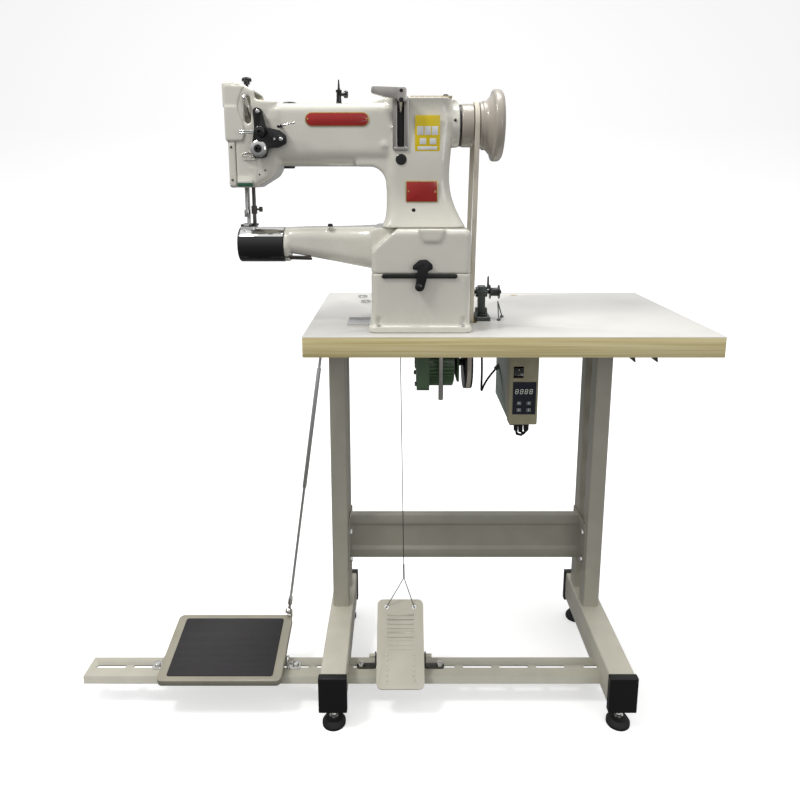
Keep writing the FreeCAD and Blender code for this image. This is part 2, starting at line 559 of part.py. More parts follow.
def v_belt():
    half = BELT_W / 2
    return belt((BELT_X - half, BELT_X + half), (MID_Y, SHAFT_Z, WHEEL_PITCH_R - 4),
                (MOTOR_Y, MOTOR_Z, MOTOR_PITCH_R - 4), 7.5)


def timing_belt():
    return belt(TIMING_X, (MID_Y, SHAFT_Z, MAIN_PULLEY_R + 0.4), (MID_Y, HOOK_Z, MAIN_PULLEY_R / 2 + 0.4),
                2.2)


# ---------------------------------------------------------------- needle, feet, feed
def needle_bar():
    at = (NEEDLE_X, MID_Y)
    clamp = fuse(rod("Z", (1092, 1106), at, 6), rod("Y", (118, 124.5), (NEEDLE_X, 1099), 2.5))
    return cut(fuse(rod("Z", (1100, 1244), at, 3.6), clamp), rod("Z", (1091, 1104), at, 1.1))


def needle():
    at = (NEEDLE_X, MID_Y)
    return fuse(rod("Z", (1070, 1104), at, 1.1), Part.makeCone(0.2, 1.1, 9, V(*at, 1061), V(0, 0, 1)))


def presser_bar():
    """Presser bar with the foot clamp and its thumb screw."""
    clamp = box((PRESSER_X - 5, PRESSER_X + 5), (124, 136), (1098, 1114), "Z", 2)
    screw = fuse(rod("X", (PRESSER_X + 5, PRESSER_X + 10), (MID_Y, 1107), 2),
                 rod("X", (PRESSER_X + 10, PRESSER_X + 16), (MID_Y, 1107), 5))
    return fuse(rod("Z", (1098, 1246), (PRESSER_X, MID_Y), 3.6), clamp, screw)


def presser_foot():
    """Two-toed outer foot, open in the middle for the walking foot."""
    z = (PLATE_Z + 0.6, PLATE_Z + 5)
    toes = [box((x, x + 3.5), (111, 154), z, "Z", 1.2) for x in (-131.5, -114.5)]
    bridge = box((-131.5, -104), (148, 154), z, "Z", 1.2)
    side = box((-110, -104), (126, 154), z)
    shank = box((-110, -104), (126, 134), (z[0], 1098))
    return fuse(*toes, bridge, side, shank)


def walking_foot():
    """Inner foot on its own bar; it rises and steps with the needle."""
    z = (PLATE_Z + 0.4, PLATE_Z + 4.5)
    sole = cut(box((-127, -115.5), (113, 146), z, "Z", 1.5),
               rod("Z", (z[0] - 1, z[1] + 1), (NEEDLE_X, MID_Y), 2))
    return fuse(sole, rod("Z", (z[0], 1240), (NEEDLE_X, WALK_Y), 3.2))


def needle_plate():
    """Bright upper shell of the round bed end, its rear guard and the raised throat plate."""
    axis = (MID_Y, HOOK_Z)
    x = (BED_END_X[0] + 0.3, BED_END_X[1])
    shell = ring("X", x, axis, BED_R, BED_R - BED_WALL)
    shell = shell.common(box((-200, 0), (90, 170), (HOOK_Z + 18, HOOK_Z + 50)))
    inner = BED_R - BED_WALL
    guard = ring("X", x, axis, inner, inner - GUARD_WALL)
    guard = guard.common(box((-200, 0), (MID_Y, 170), (HOOK_Z - 22, HOOK_Z + 22)))
    throat = box((x[0], -104), (112, 148), (HOOK_Z + 30, PLATE_Z), "Z", 3)
    feed_slot = box((-129, -113), (113.5, 146.5), (HOOK_Z + 20, PLATE_Z + 1))
    return cut(fuse(shell, guard, throat), feed_slot)


def feed_dog():
    """Toothed block in the throat plate's slot, open in the middle for the needle."""
    dog = box((-127, -115), (117, 143), (PLATE_Z - 7, PLATE_Z - 0.2))
    gaps = [box((-128, -114), (y, y + 1.2), (PLATE_Z - 1.2, PLATE_Z)) for y in range(118, 142, 3)]
    return cut(dog, box((NEEDLE_X - 1.8, NEEDLE_X + 1.8), (124, 136), (PLATE_Z - 8, PLATE_Z + 1)), *gaps)


def hook_cover():
    """Black turning cover of the bed end: lower shell and rounded end cap in one."""
    axis = (MID_Y, HOOK_Z)
    x = (BED_END_X[0], BED_END_X[1])
    shell = ring("X", x, axis, BED_R, BED_R - BED_WALL + 0.4)
    above = box((-200, 0), (90, 170), (HOOK_Z + 17.4, HOOK_Z + 50))
    rear = box((-200, 0), (MID_Y, 170), (HOOK_Z - 17, HOOK_Z + 50))
    cap = turned_x([(x[0] - 4, 0), (x[0] - 4, BED_R, 3.5), (x[0], BED_R), (x[0], 0)], axis)
    return fuse(cut(shell, above, rear), cap)


def take_up_lever():
    pivot, eye = V(0, 116, 1285), V(0, 64, 1316)
    x = (-105.0, -101.0)
    blade = plate_yz([(pivot.y + 1, pivot.z + 5), (pivot.y - 3, pivot.z - 5), (eye.y - 4, eye.z - 3, 3),
                      (eye.y, eye.z + 5, 3)], x)
    shape = fuse(blade, rod("X", x, (pivot.y, pivot.z), 6), rod("X", (-121, x[0]), (pivot.y, pivot.z), 3))
    return shape.cut(rod("X", (x[0] - 1, x[1] + 1), (eye.y + 2, eye.z), 1.5))


# ---------------------------------------------------------------- controls on the head
def pressure_knob():
    at = (-112, MID_Y)
    cap = rod("Z", (1352, 1360), at, 9)
    cap = cap.makeFillet(2, [e for e in cap.Edges if e.BoundBox.ZLength < 0.1])
    return fuse(rod("Z", (1328, 1348), at, 3), rod("Z", (1346, 1353), at, 6), cap)


def stitch_lever():
    """Cast stitch-length lever: hub inside the column, stem through the slot, grip outside."""
    tip = V(186, 60, 1312)
    hub = rod("X", (181.5, 190.5), LEVER_PIVOT, 11)
    stem = strut(V(186, *LEVER_PIVOT), tip, 4)
    head = box((180, 197), (48, 66), (1306, 1331), "Y", 5)
    grip = plate_xz([(131, 1322, 4), (133, 1333, 4), (190, 1331), (190, 1310, 4), (158, 1314, 6)], (50, 64))
    return fuse(hub, stem, head, grip, rod("X", (168, 182), LEVER_PIVOT, 4))


def head_latch():
    """Black lever that hooks the tilting head down to its pedestal."""
    y = (BASE_Y[0] - 12, BASE_Y[0] - 5)
    pivot = (220.0, 966.0)
    arm = plate_xz([(211, 957, 8.9), (229, 957, 8.9), (231, 1000, 2), (250, 999, 1.5), (246, 1015, 6),
                    (228, 1023, 8), (211, 1012, 8)], y)
    return fuse(arm, rod("Y", (y[0] - 3, y[0]), pivot, 7), rod("Y", (y[1], BASE_Y[0] - 0.3), pivot, 5))


# ---------------------------------------------------------------- bobbin winder
def winder_base():
    """Cast foot with two upright ears for the swinging arm, and the thread tension wire."""
    foot = box((343, 374), (142, 206), (TABLE_Z, TABLE_Z + 7.5), "Z", 3)
    ears = [plate_yz([(166, 880), (193, 880), (188, 897, 5), (171, 897, 5)], (x, x + 4)) for x in (346, 366)]
    pin = rod("X", (346, 370), WINDER_PIVOT, 2.5)
    guide = fuse(strut(V(392, 150, TABLE_Z + 2), V(392, 168, 912), 1.3),
                 strut(V(392, 168, 912), V(404, 186, TABLE_Z + 2), 1.3),
                 strut(V(392, 150, TABLE_Z + 2), V(404, 186, TABLE_Z + 2), 1.3),
                 rod("Z", (TABLE_Z, TABLE_Z + 3), (392, 150), 4),
                 rod("Z", (TABLE_Z, TABLE_Z + 3), (404, 186), 4))
    return group(fuse(foot, *ears, pin), guide)


def winder_arm():
    """Swinging arm that carries the winder shaft, with the bright trip lever on top."""
    upright = plate_yz([(170, 884, 4), (189, 884, 4), (190, 945, 6), (169, 945, 6)], (350.5, 365.5))
    head = rod("X", (346, 370), (WINDER_Y, WINDER_Z), 11)
    trip = fuse(plate_yz([(165, 940), (196, 940), (188, 962, 4), (176, 966, 4)], (371, 373)),
                rod("X", (370, 374), (WINDER_Y, 941), 4))
    return cut(fuse(upright, head, trip), rod("X", (340, 380), WINDER_PIVOT, 2.5 + RUN),
               rod("X", (340, 380), (WINDER_Y, WINDER_Z), 4 + RUN))


def winder_wheel():
    """Friction wheel, shaft and bobbin spool of the winder."""
    axis = (WINDER_Y, WINDER_Z)
    wheel = turned_x([(327.5, 0), (327.5, WINDER_R, 2), (337.5, WINDER_R, 2), (337.5, 34, 1), (334, 30, 1),
                      (334, 12), (343, 10), (343, 0)], axis)
    spool = turned_x([(375, 0), (375, 15), (377, 15), (377, 9), (394, 9), (394, 15), (396, 15), (396, 0)],
                     axis)
    return fuse(wheel, rod("X", (340, 400), axis, 4), spool)


# ---------------------------------------------------------------- motor and control box
def motor_body():
    """Motor hung under the table: square end shield, finned barrel, cradle and hanging bolt."""
    axis = (MOTOR_Y, MOTOR_Z)
    r = MOTOR_R
    shield = plate_yz([(MOTOR_Y - r, MOTOR_Z - r + 8, 2), (MOTOR_Y - r + 8, MOTOR_Z - r, 2),
                       (MOTOR_Y + r - 8, MOTOR_Z - r, 2), (MOTOR_Y + r, MOTOR_Z - r + 8, 2),
                       (MOTOR_Y + r, MOTOR_Z + r, 5), (MOTOR_Y - r, MOTOR_Z + r, 5)], (221, 248))
    barrel = rod("X", (248, 302), axis, r - 6)
    fins = []
    for i in range(36):
        fin = box((249, 300), (MOTOR_Y + r - 8, MOTOR_Y + r), (MOTOR_Z - 1.3, MOTOR_Z + 1.3))
        fin.rotate(V(0, *axis), V(1, 0, 0), 10 * i)
        fins.append(fin)
    gland = ring("Y", (MOTOR_Y + r, MOTOR_Y + r + 9), (236, 800), 6, CABLE_R + RUN)
    return cut(fuse(shield, barrel, *fins, gland), rod("X", (280, 303), axis, 8 + RUN))


def motor_bracket():
    """Base plate under the table, saddle blocks, hanging bolts and the guard plate."""
    base = box((224, 312), (140, 270), (TABLE_UNDER - 5, TABLE_UNDER))
    top = MOTOR_Z + MOTOR_R
    saddles = [box((226, 246), (y, y + 20), (top, TABLE_UNDER - 5)) for y in (170, 220)]
    bolts = [fuse(rod("Z", (705, TABLE_UNDER - 5), (272, y), 4.5),
                  hexagon("Z", (TABLE_UNDER - 13, TABLE_UNDER - 5), (272, y), 16)) for y in (145, 265)]
    guard = cut(box((307, 312), (160, 250), (738, TABLE_UNDER - 5)),
                rod("X", (306, 313), (MOTOR_Y, MOTOR_Z), 14))
    return fuse(base, *saddles, *bolts, guard)


def motor_pulley():
    axis = (MOTOR_Y, MOTOR_Z)
    r = MOTOR_PITCH_R
    wheel = turned_x([(BELT_X - 8.5, 0), (BELT_X - 8.5, r + 3), (BELT_X - 5.5, r + 3),
                      (BELT_X - 5.3, r - 6), (BELT_X + 5.3, r - 6), (BELT_X + 5.5, r + 3),
                      (BELT_X + 8.5, r + 3), (BELT_X + 8.5, 0)], axis)
    return fuse(wheel, rod("X", (282, BELT_X + 12), axis, 8))


def control_box():
    """Sheet-metal housing of the speed control, with hanger ears and two plugs below."""
    body = box(BOX_X, BOX_Y, BOX_Z, "Y", 4)
    room = box((BOX_X[0] + 2.5, BOX_X[1] - 2.5), (BOX_Y[0] - 1, BOX_Y[1] - 2.5),
               (BOX_Z[0] + 2.5, BOX_Z[1] - 2.5))
    shaft = rod("X", (BOX_X[0] - 1, BOX_X[0] + 20), (CROSS_Y, CROSS_Z), CROSS_R + RUN)
    vents = [box((BOX_X[0] - 1, BOX_X[1] + 1), (300 + 14 * i, 305 + 14 * i), (650, 652.5)) for i in range(8)]
    ears = [box((BOX_X[0] + 6, BOX_X[1] - 6), (y, y + 30), (BOX_Z[1], TABLE_UNDER)) for y in (260, 380)]
    plugs = [box((x, x + 16), (252, 270), (BOX_Z[0] - 18, BOX_Z[0]), "Z", 3) for x in (440, 464)]
    gland = strut(CABLE_END, CABLE_END + GLAND_WAY * 16, 5.5)
    return fuse(cut(body, room, shaft, *vents), *ears, *plugs, gland)


def control_front():
    """Plastic front with pockets for the power rocker and the four keys."""
    body = box((BOX_X[0] - 1, BOX_X[1] + 1), (FRONT_Y, BOX_Y[0]), (BOX_Z[0] - 2, BOX_Z[1]), "Y", 4)
    room = box((BOX_X[0] + 2, BOX_X[1] - 2), (FRONT_Y + 8, BOX_Y[0] + 1), (BOX_Z[0] + 1, BOX_Z[1] - 3))
    window = box((438, 491), (FRONT_Y - 0.8, FRONT_Y), (644, 721), "Y", 2)
    rocker = box((439, 461.5), (FRONT_Y - 2, FRONT_Y + 9), (729, 756))
    keys = [box((x - 5.4, x + 5.4), (FRONT_Y - 2, FRONT_Y + 4), (z - 4.4, z + 4.4)) for x, z in KEY_AT]
    return cut(fuse(body.cut(room), window), rocker, *keys)


def rocker_switch():
    pivot = V(0, FRONT_Y + 9, 742.5)
    side = [(FRONT_Y - 2.5, 733, 1), (FRONT_Y - 0.5, 742.5), (FRONT_Y - 2.5, 752, 1), (pivot.y + 3, 750),
            (pivot.y + 3, 735)]
    trunnions = rod("X", (438, 462.5), (pivot.y, pivot.z), 0.6)
    return tilted(fuse(plate_yz(side, (439.5, 461)), trunnions), pivot, -7)


def key(x, z):
    return box((x - 5, x + 5), (FRONT_Y - 1.4, FRONT_Y + 2.6), (z - 4, z + 4), "Y", 1.5)


# ---------------------------------------------------------------- treadle, pedal, linkage
def cross_shaft():
    """Shaft under the table that carries the treadle's motion to the speed control."""
    shaft = rod("X", (-2, BOX_X[0] + 14), (CROSS_Y, CROSS_Z), CROSS_R)
    y = ROD_HEAD.y
    arm = plate_yz([(y - 7, CROSS_Z - 7, 6), (CROSS_Y + 10, CROSS_Z - 10, 9),
                    (CROSS_Y + 10, CROSS_Z + 10, 9), (y - 7, CROSS_Z + 7, 6)], (-2, 4))
    pin = rod("X", (4, 20), (y, CROSS_Z), 3)
    head = rod("X", (20, 23), (y, CROSS_Z), 9)
    return fuse(shaft, arm, pin, head)


def pitman_rod():
    """Long adjustable rod from the treadle up to the cross shaft's arm."""
    foot, head = ROD_FOOT, V(12, ROD_HEAD.y, ROD_HEAD.z)
    lower = ring("X", (foot.x - 3.5, foot.x + 3.5), (foot.y, foot.z), 8, 3 + RUN)
    upper = ring("X", (head.x - 3.5, head.x + 3.5), (head.y, head.z), 10, 5.8)
    line = head - foot
    line.normalize()
    start, end = foot + line * 7.2, head - line * 9.2
    middle = foot + line * 330
    return fuse(lower, upper, strut(start, end, 3), strut(middle - line * 12, end - line * 30, 4.5),
                strut(start + line * 12, start + line * 30, 5))


def treadle():
    """Large treadle: dished frame with side lugs, pivot pins and the rod's stud."""
    x, flat_z = TREADLE_X, 128.0
    y = (TREADLE_PIVOT.y - 70, TREADLE_PIVOT.y + 107)
    plate = box(x, y, (flat_z - 14, flat_z), "Z", 12)
    under = box((x[0] + 4, x[1] - 4), (y[0] + 4, y[1] - 4), (flat_z - 15, flat_z - 5), "Z", 8)
    bed = box((x[0] + 19, x[1] - 19), (y[0] + 12, y[1] - 11), (flat_z - 1.5, flat_z + 1), "Z", 5)
    lugs = [box((lug, lug + 4), (TREADLE_PIVOT.y - 9, TREADLE_PIVOT.y + 9),
                (TREADLE_PIVOT.z - 7, flat_z - 2), "X", 5) for lug in (x[0], x[1] - 4)]
    pins = [rod("X", span, (TREADLE_PIVOT.y, TREADLE_PIVOT.z), 4) for span in ((x[0] - 9, x[0] + 1),
                                                                               (x[1] - 1, x[1] + 9))]
    shape = tilted(fuse(cut(plate, under, bed), *lugs), TREADLE_PIVOT, TREADLE_TILT)
    f = ROD_FOOT
    ear = plate_yz([(f.y - 9, 140), (f.y + 5, 143), (f.y + 6, f.z + 2, 5), (f.y - 6, f.z + 6, 5)], (-74, -71))
    stud = rod("X", (f.x - 6, -72), (f.y, f.z), 3)
    return fuse(shape, *pins, ear, stud, rod("X", (f.x - 8, f.x - 4.2), (f.y, f.z), 5))


def treadle_mat():
    x = (TREADLE_X[0] + 19.2, TREADLE_X[1] - 19.2)
    y = (TREADLE_PIVOT.y - 57.8, TREADLE_PIVOT.y + 95.8)
    return tilted(box(x, y, (126.5, 129.2), "Z", 5), TREADLE_PIVOT, TREADLE_TILT)


def pedal_brackets():
    """Bent steel brackets bolted to the floor bar: two for the treadle, two for the pedal."""
    pieces = []
    z = BAR_Z[1]
    for inner, way in ((TREADLE_X[0], -1), (TREADLE_X[1], 1)):
        ear = sorted((inner + way * 2, inner + way * 6))
        tail = sorted((inner + way * 2, inner + way * 32))
        upright = plate_yz([(92, z), (110, z), (110, TREADLE_PIVOT.z + 8, 8),
                            (92, TREADLE_PIVOT.z + 8, 8)], ear)
        shape = fuse(upright, box(tail, (90, 112), (z, z + 3), "Z", 5))
        pieces.append(cut(shape, rod("X", (inner - 40, inner + 40), (TREADLE_PIVOT.y, TREADLE_PIVOT.z),
                                     4 + RUN)))
    for inner, way in ((PEDAL_X[0], -1), (PEDAL_X[1], 1)):
        ear = sorted((inner + way * 2, inner + way * 5))
        tail = sorted((inner + way * 2, inner + way * 46))
        upright = plate_yz([(96, z), (113, z), (113, PEDAL_PIVOT.z + 8, 8), (96, PEDAL_PIVOT.z + 8, 8)], ear)
        shape = fuse(upright, box(tail, (92, 108), (z, z + 3), "Z", 6))
        pieces.append(cut(shape, rod("X", (inner - 40, inner + 40), (PEDAL_PIVOT.y, PEDAL_PIVOT.z), 4 + RUN)))
    return group(*pieces)


def lift_pedal():
    """Narrow steep pedal that lifts the presser foot: pressed shell with deep cheeks."""
    x, flat_z = PEDAL_X, PEDAL_PIVOT.z + 36
    y = (PEDAL_PIVOT.y - 69.5, PEDAL_PIVOT.y + 110)
    plate = box(x, y, (flat_z - 12, flat_z), "Z", 12)
    under = box((x[0] + 3, x[1] - 3), (y[0] + 3, y[1] - 3), (flat_z - 13, flat_z - 3), "Z", 9)
    cheeks = [plate_yz([(PEDAL_PIVOT.y - 52, flat_z - 6), (PEDAL_PIVOT.y - 12, PEDAL_PIVOT.z - 9, 12),
                        (PEDAL_PIVOT.y + 12, PEDAL_PIVOT.z - 9, 12), (PEDAL_PIVOT.y + 46, flat_z - 6)],
                       (side, side + 3)) for side in (x[0], x[1] - 3)]
    holes = [rod("Z", (flat_z - 14, flat_z + 1), (hole, y[1] - 16), 4.5) for hole in PEDAL_HOLES]
    ribs = [box((x[0] + 22, x[1] - 22), (y[1] - 34 - 9 * i, y[1] - 31 - 9 * i),
                (flat_z - 0.5, flat_z + 1.2)) for i in range(6)]
    shape = tilted(cut(fuse(plate.cut(under), *cheeks, *ribs), *holes), PEDAL_PIVOT, PEDAL_TILT)
    pins = [rod("X", span, (PEDAL_PIVOT.y, PEDAL_PIVOT.z), 4) for span in ((x[0] - 18, x[0] + 1),
                                                                           (x[1] - 1, x[1] + 18))]
    return fuse(shape, *pins)


def hole_point(x):
    """Centre of a wire hole in the lift pedal's face."""
    p = V(x, PEDAL_PIVOT.y + 94, PEDAL_PIVOT.z + 34.5)
    turn = FreeCAD.Rotation(V(1, 0, 0), PEDAL_TILT)
    return PEDAL_PIVOT + turn.multVec(p - PEDAL_PIVOT)


def lift_wire():
    """Steel wire from the pedal's two holes up through the table into the pedestal."""
    holes = [hole_point(x) for x in PEDAL_HOLES]
    y = holes[0].y
    apex, top = V(194, y, 280), V(184, y, 925)
    sides, beads = [], []
    for hole in holes:
        way = apex - hole
        way.normalize()
        low = hole - way * 8
        sides.append(strut(low, apex, 0.9))
        beads += [Part.makeSphere(2.2, low), rod("X", (hole.x - 2.5, hole.x + 2.5), (hole.y, hole.z), 1.4)]
    loop = strut(apex, apex + V(-0.5, 0, 34), 1.7)
    hook = Part.makeTorus(6, 1, V(184, y, 931), V(0, 1, 0))
    return fuse(*sides, *beads, Part.makeSphere(1.6, apex), loop, strut(apex, top, 0.9), hook)


def motor_cable():
    return tube(MOTOR_CABLE, CABLE_R, "motor_cable")


# ---------------------------------------------------------------- fasteners
def fasteners():
    """Bolts and screws that hold the stand, the brackets and the castings."""
    z = BAR_Z[1] + 3
    heads = [(TREADLE_X[0] - 22, 101), (TREADLE_X[1] + 22, 101), (PEDAL_X[0] - 36, 100),
             (PEDAL_X[1] + 36, 100)]
    pieces = [hexagon("Z", (z, z + 6), at, 13) for at in heads]
    for zz in (258, 328):
        pieces.append(hexagon("X", (POST_X[0] + POST + 3, POST_X[0] + POST + 9), (262, zz), 13))
        pieces.append(hexagon("X", (POST_X[1] - 9, POST_X[1] - 3), (262, zz), 13))
    pieces += [rod("Z", (TABLE_Z + 13, TABLE_Z + 16), at, 4.5) for at in FLANGE_BOLTS]
    for at in ((175.5, 1223.5), (196.5, 1223.5), (175.5, 1313.5), (196.5, 1313.5)):
        pieces.append(rod("Y", (69.5, 71), at, 2.6))
    for at in ((92, 431), (103, 361)):
        pieces.append(ring("Z", (TABLE_Z, TABLE_Z + 4), at, 12, 7))
    pieces.append(box((78, 123.5), (94, 160), (TABLE_Z, TABLE_Z + 5), "Z", 2))
    return group(*pieces)


PIECES = {
    "table_top": table_top,
    "side_posts": lambda: group(*[posts(x) for x in POST_X]),
    "floor_runners": lambda: group(*[runner(x) for x in RUNNER_X]),
    "crossbeam": crossbeam,
    "floor_bar": floor_bar,
    "runner_caps": runner_caps,
    "levelling_feet": levelling_feet,
    "under_table_brackets": under_table_brackets,
    "lower_base": lower_base,
    "upper_base": upper_base,
    "arm_casting": arm_casting,
    "face_plate": face_plate,
    "top_cover": top_cover,
    "stitch_slot_plate": stitch_slot_plate,
    "label_plates": label_plates,
    "caps_and_strip": caps_and_strip,
    "thread_guides": thread_guides,
    "tension_plate": tension_plate,
    "upper_tension": lambda: tension((-74, 1253), 11, 9.5, 44),
    "lower_tension": lambda: tension((-79, 1222), 15, 7, 48),
    "main_shaft": main_shaft,
    "handwheel": handwheel,
    "lower_shaft": lower_shaft,
    "rotary_hook": rotary_hook,
    "bobbin_case": bobbin_case,
    "v_belt": v_belt,
    "timing_belt": timing_belt,
    "needle_bar": needle_bar,
    "needle": needle,
    "presser_bar": presser_bar,
    "presser_foot": presser_foot,
    "walking_foot": walking_foot,
    "needle_plate": needle_plate,
    "feed_dog": feed_dog,
    "hook_cover": hook_cover,
    "take_up_lever": take_up_lever,
    "pressure_knob": pressure_knob,
    "stitch_lever": stitch_lever,
    "head_latch": head_latch,
    "winder_base": winder_base,
    "winder_arm": winder_arm,
    "winder_wheel": winder_wheel,
    "motor_body": motor_body,
    "motor_pulley": motor_pulley,
    "control_box": control_box,
    "control_front": control_front,
    "rocker_switch": rocker_switch,
    "cross_shaft": cross_shaft,
    "pitman_rod": pitman_rod,
    "treadle": treadle,
    "treadle_mat": treadle_mat,
    "pedal_brackets": pedal_brackets,
    "lift_pedal": lift_pedal,
    "lift_wire": lift_wire,
    "motor_cable": motor_cable,
    "fasteners": fasteners,
}
for number, at in enumerate(KEY_AT, start=1):
    PIECES[f"key_{number}"] = lambda at=at: key(*at)


def main():
    os.makedirs("parts", exist_ok=True)
    for name, make in PIECES.items():
        save(name, make())


main()
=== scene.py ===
# %% [markdown]
# # A leather sewing machine, finished from its frame
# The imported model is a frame: every shaft, casting and bolt is already in its place and at its size.
# This script dresses that frame. It melts the castings into soft iron skins, turns and knurls the
# small parts again with crisp detail, and gives each surface a paint, metal, plastic or wood that is
# worked out by nodes. Nothing is moved: all new pieces are built where the frame says they are.

import json
import math

import bmesh
import bpy
from mathutils import Matrix, Vector

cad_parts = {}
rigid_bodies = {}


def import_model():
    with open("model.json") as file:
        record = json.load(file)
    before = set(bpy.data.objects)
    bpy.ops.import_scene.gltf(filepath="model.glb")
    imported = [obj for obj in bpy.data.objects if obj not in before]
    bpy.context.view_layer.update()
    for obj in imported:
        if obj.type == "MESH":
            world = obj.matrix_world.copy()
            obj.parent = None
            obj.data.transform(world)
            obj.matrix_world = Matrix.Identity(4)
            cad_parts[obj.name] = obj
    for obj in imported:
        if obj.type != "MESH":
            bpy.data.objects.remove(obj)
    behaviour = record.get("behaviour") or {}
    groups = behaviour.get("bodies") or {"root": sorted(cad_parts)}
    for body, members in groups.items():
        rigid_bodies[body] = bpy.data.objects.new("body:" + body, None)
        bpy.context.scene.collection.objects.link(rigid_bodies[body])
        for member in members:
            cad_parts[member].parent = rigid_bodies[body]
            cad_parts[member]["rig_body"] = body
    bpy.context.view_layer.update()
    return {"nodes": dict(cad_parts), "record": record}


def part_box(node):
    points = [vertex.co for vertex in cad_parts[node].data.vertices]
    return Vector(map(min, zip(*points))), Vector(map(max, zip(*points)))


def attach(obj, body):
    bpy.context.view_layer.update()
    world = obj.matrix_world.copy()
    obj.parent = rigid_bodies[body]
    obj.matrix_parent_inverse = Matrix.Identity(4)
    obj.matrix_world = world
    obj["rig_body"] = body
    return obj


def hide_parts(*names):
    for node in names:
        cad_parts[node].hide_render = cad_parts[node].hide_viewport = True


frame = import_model()

# %% [markdown]
# ## Working in the maker's millimetres
# A sewing machine is drawn from one corner of its table: so many millimetres to the right, so many
# back, so many up. One matrix turns those numbers into the frame's metres, so that a piece can be
# built with plain workshop sizes and still land exactly on the frame.

# %% Places on the machine
UNDERSIDE = 835.0        # height of the table board's underside on the drawing
table_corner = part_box("table_top")[0] * 1000
to_frame = Matrix.Scale(0.001, 4) @ Matrix.Translation(table_corner - Vector((0, 0, UNDERSIDE)))
to_drawing = to_frame.inverted()
MID = 130.0              # the plane of the needle and of both shafts
SHAFT = 1269.0           # height of the upper shaft


def metres(x, y, z):
    """A place on the drawing, in the frame's metres."""
    return to_frame @ Vector((x, y, z))


# %% [markdown]
# ## The camera first
# The machine is seen from the operator's side, a little above the table, with a wide lens. The
# camera looks slightly down, and a small shift keeps the whole stand in view.

# %% Camera
EYE = (183.3, -1211.6, 1164.2)     # where the operator's eye would be, on the drawing
LOOK_DOWN = 10.709                 # degrees below level
lens = bpy.data.cameras.new("camera")
lens.lens = 29.83
lens.sensor_width = 36.0
lens.shift_x = 0.001
lens.shift_y = -0.118
camera = bpy.data.objects.new("camera", lens)
camera.location = metres(*EYE)
camera.rotation_euler = (math.radians(90 - LOOK_DOWN), 0, 0)
bpy.context.scene.collection.objects.link(camera)
bpy.context.scene.camera = camera
print("camera at", [round(v, 3) for v in camera.location])

# %% [markdown]
# ## Lamps
# Enamel shows its gloss only where it mirrors something. A small square lamp high on the left draws
# narrow highlights along the arm, a wide one overhead fills the table top, and a weak one on the
# right keeps that side open. Area lamps are used because their size sets how soft a shadow is.

# %% Lamps
def lamp(name, place, target, size, power, tint=(1, 1, 1)):
    """A square soft lamp that faces a point."""
    data = bpy.data.lights.new(name, "AREA")
    data.shape = "SQUARE"
    data.size = size
    data.energy = power
    data.color = tint
    obj = bpy.data.objects.new(name, data)
    obj.location = place
    obj.rotation_euler = (Vector(target) - Vector(place)).to_track_quat("-Z", "Y").to_euler()
    bpy.context.scene.collection.objects.link(obj)


lamp("key", (-1.2, -0.9, 2.9), (0, 0, 0.95), 0.42, 25, (1.0, 0.99, 0.97))
lamp("overhead", (0.2, 0.2, 3.2), (0, 0, 0.6), 1.2, 27)
lamp("side", (1.6, -2.4, 1.5), (0, 0, 0.9), 1.0, 6, (0.97, 0.98, 1.0))
bpy.context.scene.view_settings.view_transform = "Standard"
print("lamps:", [lit.name for lit in bpy.data.lights])

# %% [markdown]
# ## The room
# A studio is dark below and pale above, and that difference is what gives a round arm its shape.
# The world is therefore a ramp over height. The camera itself sees plain white behind the
# machine: Light Path tells its rays from those that light the surfaces.

# %% Room
room = bpy.data.worlds.new("room")
room.use_nodes = True
bpy.context.scene.world = room
nodes = room.node_tree.nodes
nodes.clear()
seen = nodes.new("ShaderNodeBackground")
lit = nodes.new("ShaderNodeBackground")
seen.inputs["Color"].default_value = (1, 1, 1, 1)
choose = nodes.new("ShaderNodeMixShader")
path = nodes.new("ShaderNodeLightPath")
out = nodes.new("ShaderNodeOutputWorld")
where = nodes.new("ShaderNodeTexCoord")
split = nodes.new("ShaderNodeSeparateXYZ")
sky = nodes.new("ShaderNodeValToRGB")
sky.color_ramp.elements.new(0.5)
GLOW = ((0.0, (0.1, 0.1, 0.102, 1)), (0.45, (0.3, 0.3, 0.306, 1)), (1.0, (1, 1, 1, 1)))
for stop, (height, glow) in zip(sky.color_ramp.elements, GLOW):
    stop.position = height
    stop.color = glow
link = room.node_tree.links.new
link(where.outputs["Generated"], split.inputs[0])
half = nodes.new("ShaderNodeMapRange")
half.inputs["From Min"].default_value = -1
link(split.outputs["Z"], half.inputs["Value"])
link(half.outputs[0], sky.inputs[0])
link(sky.outputs[0], lit.inputs["Color"])
link(path.outputs["Is Camera Ray"], choose.inputs[0])
link(lit.outputs[0], choose.inputs[1])
link(seen.outputs[0], choose.inputs[2])
link(choose.outputs[0], out.inputs[0])
print("room nodes:", len(nodes))
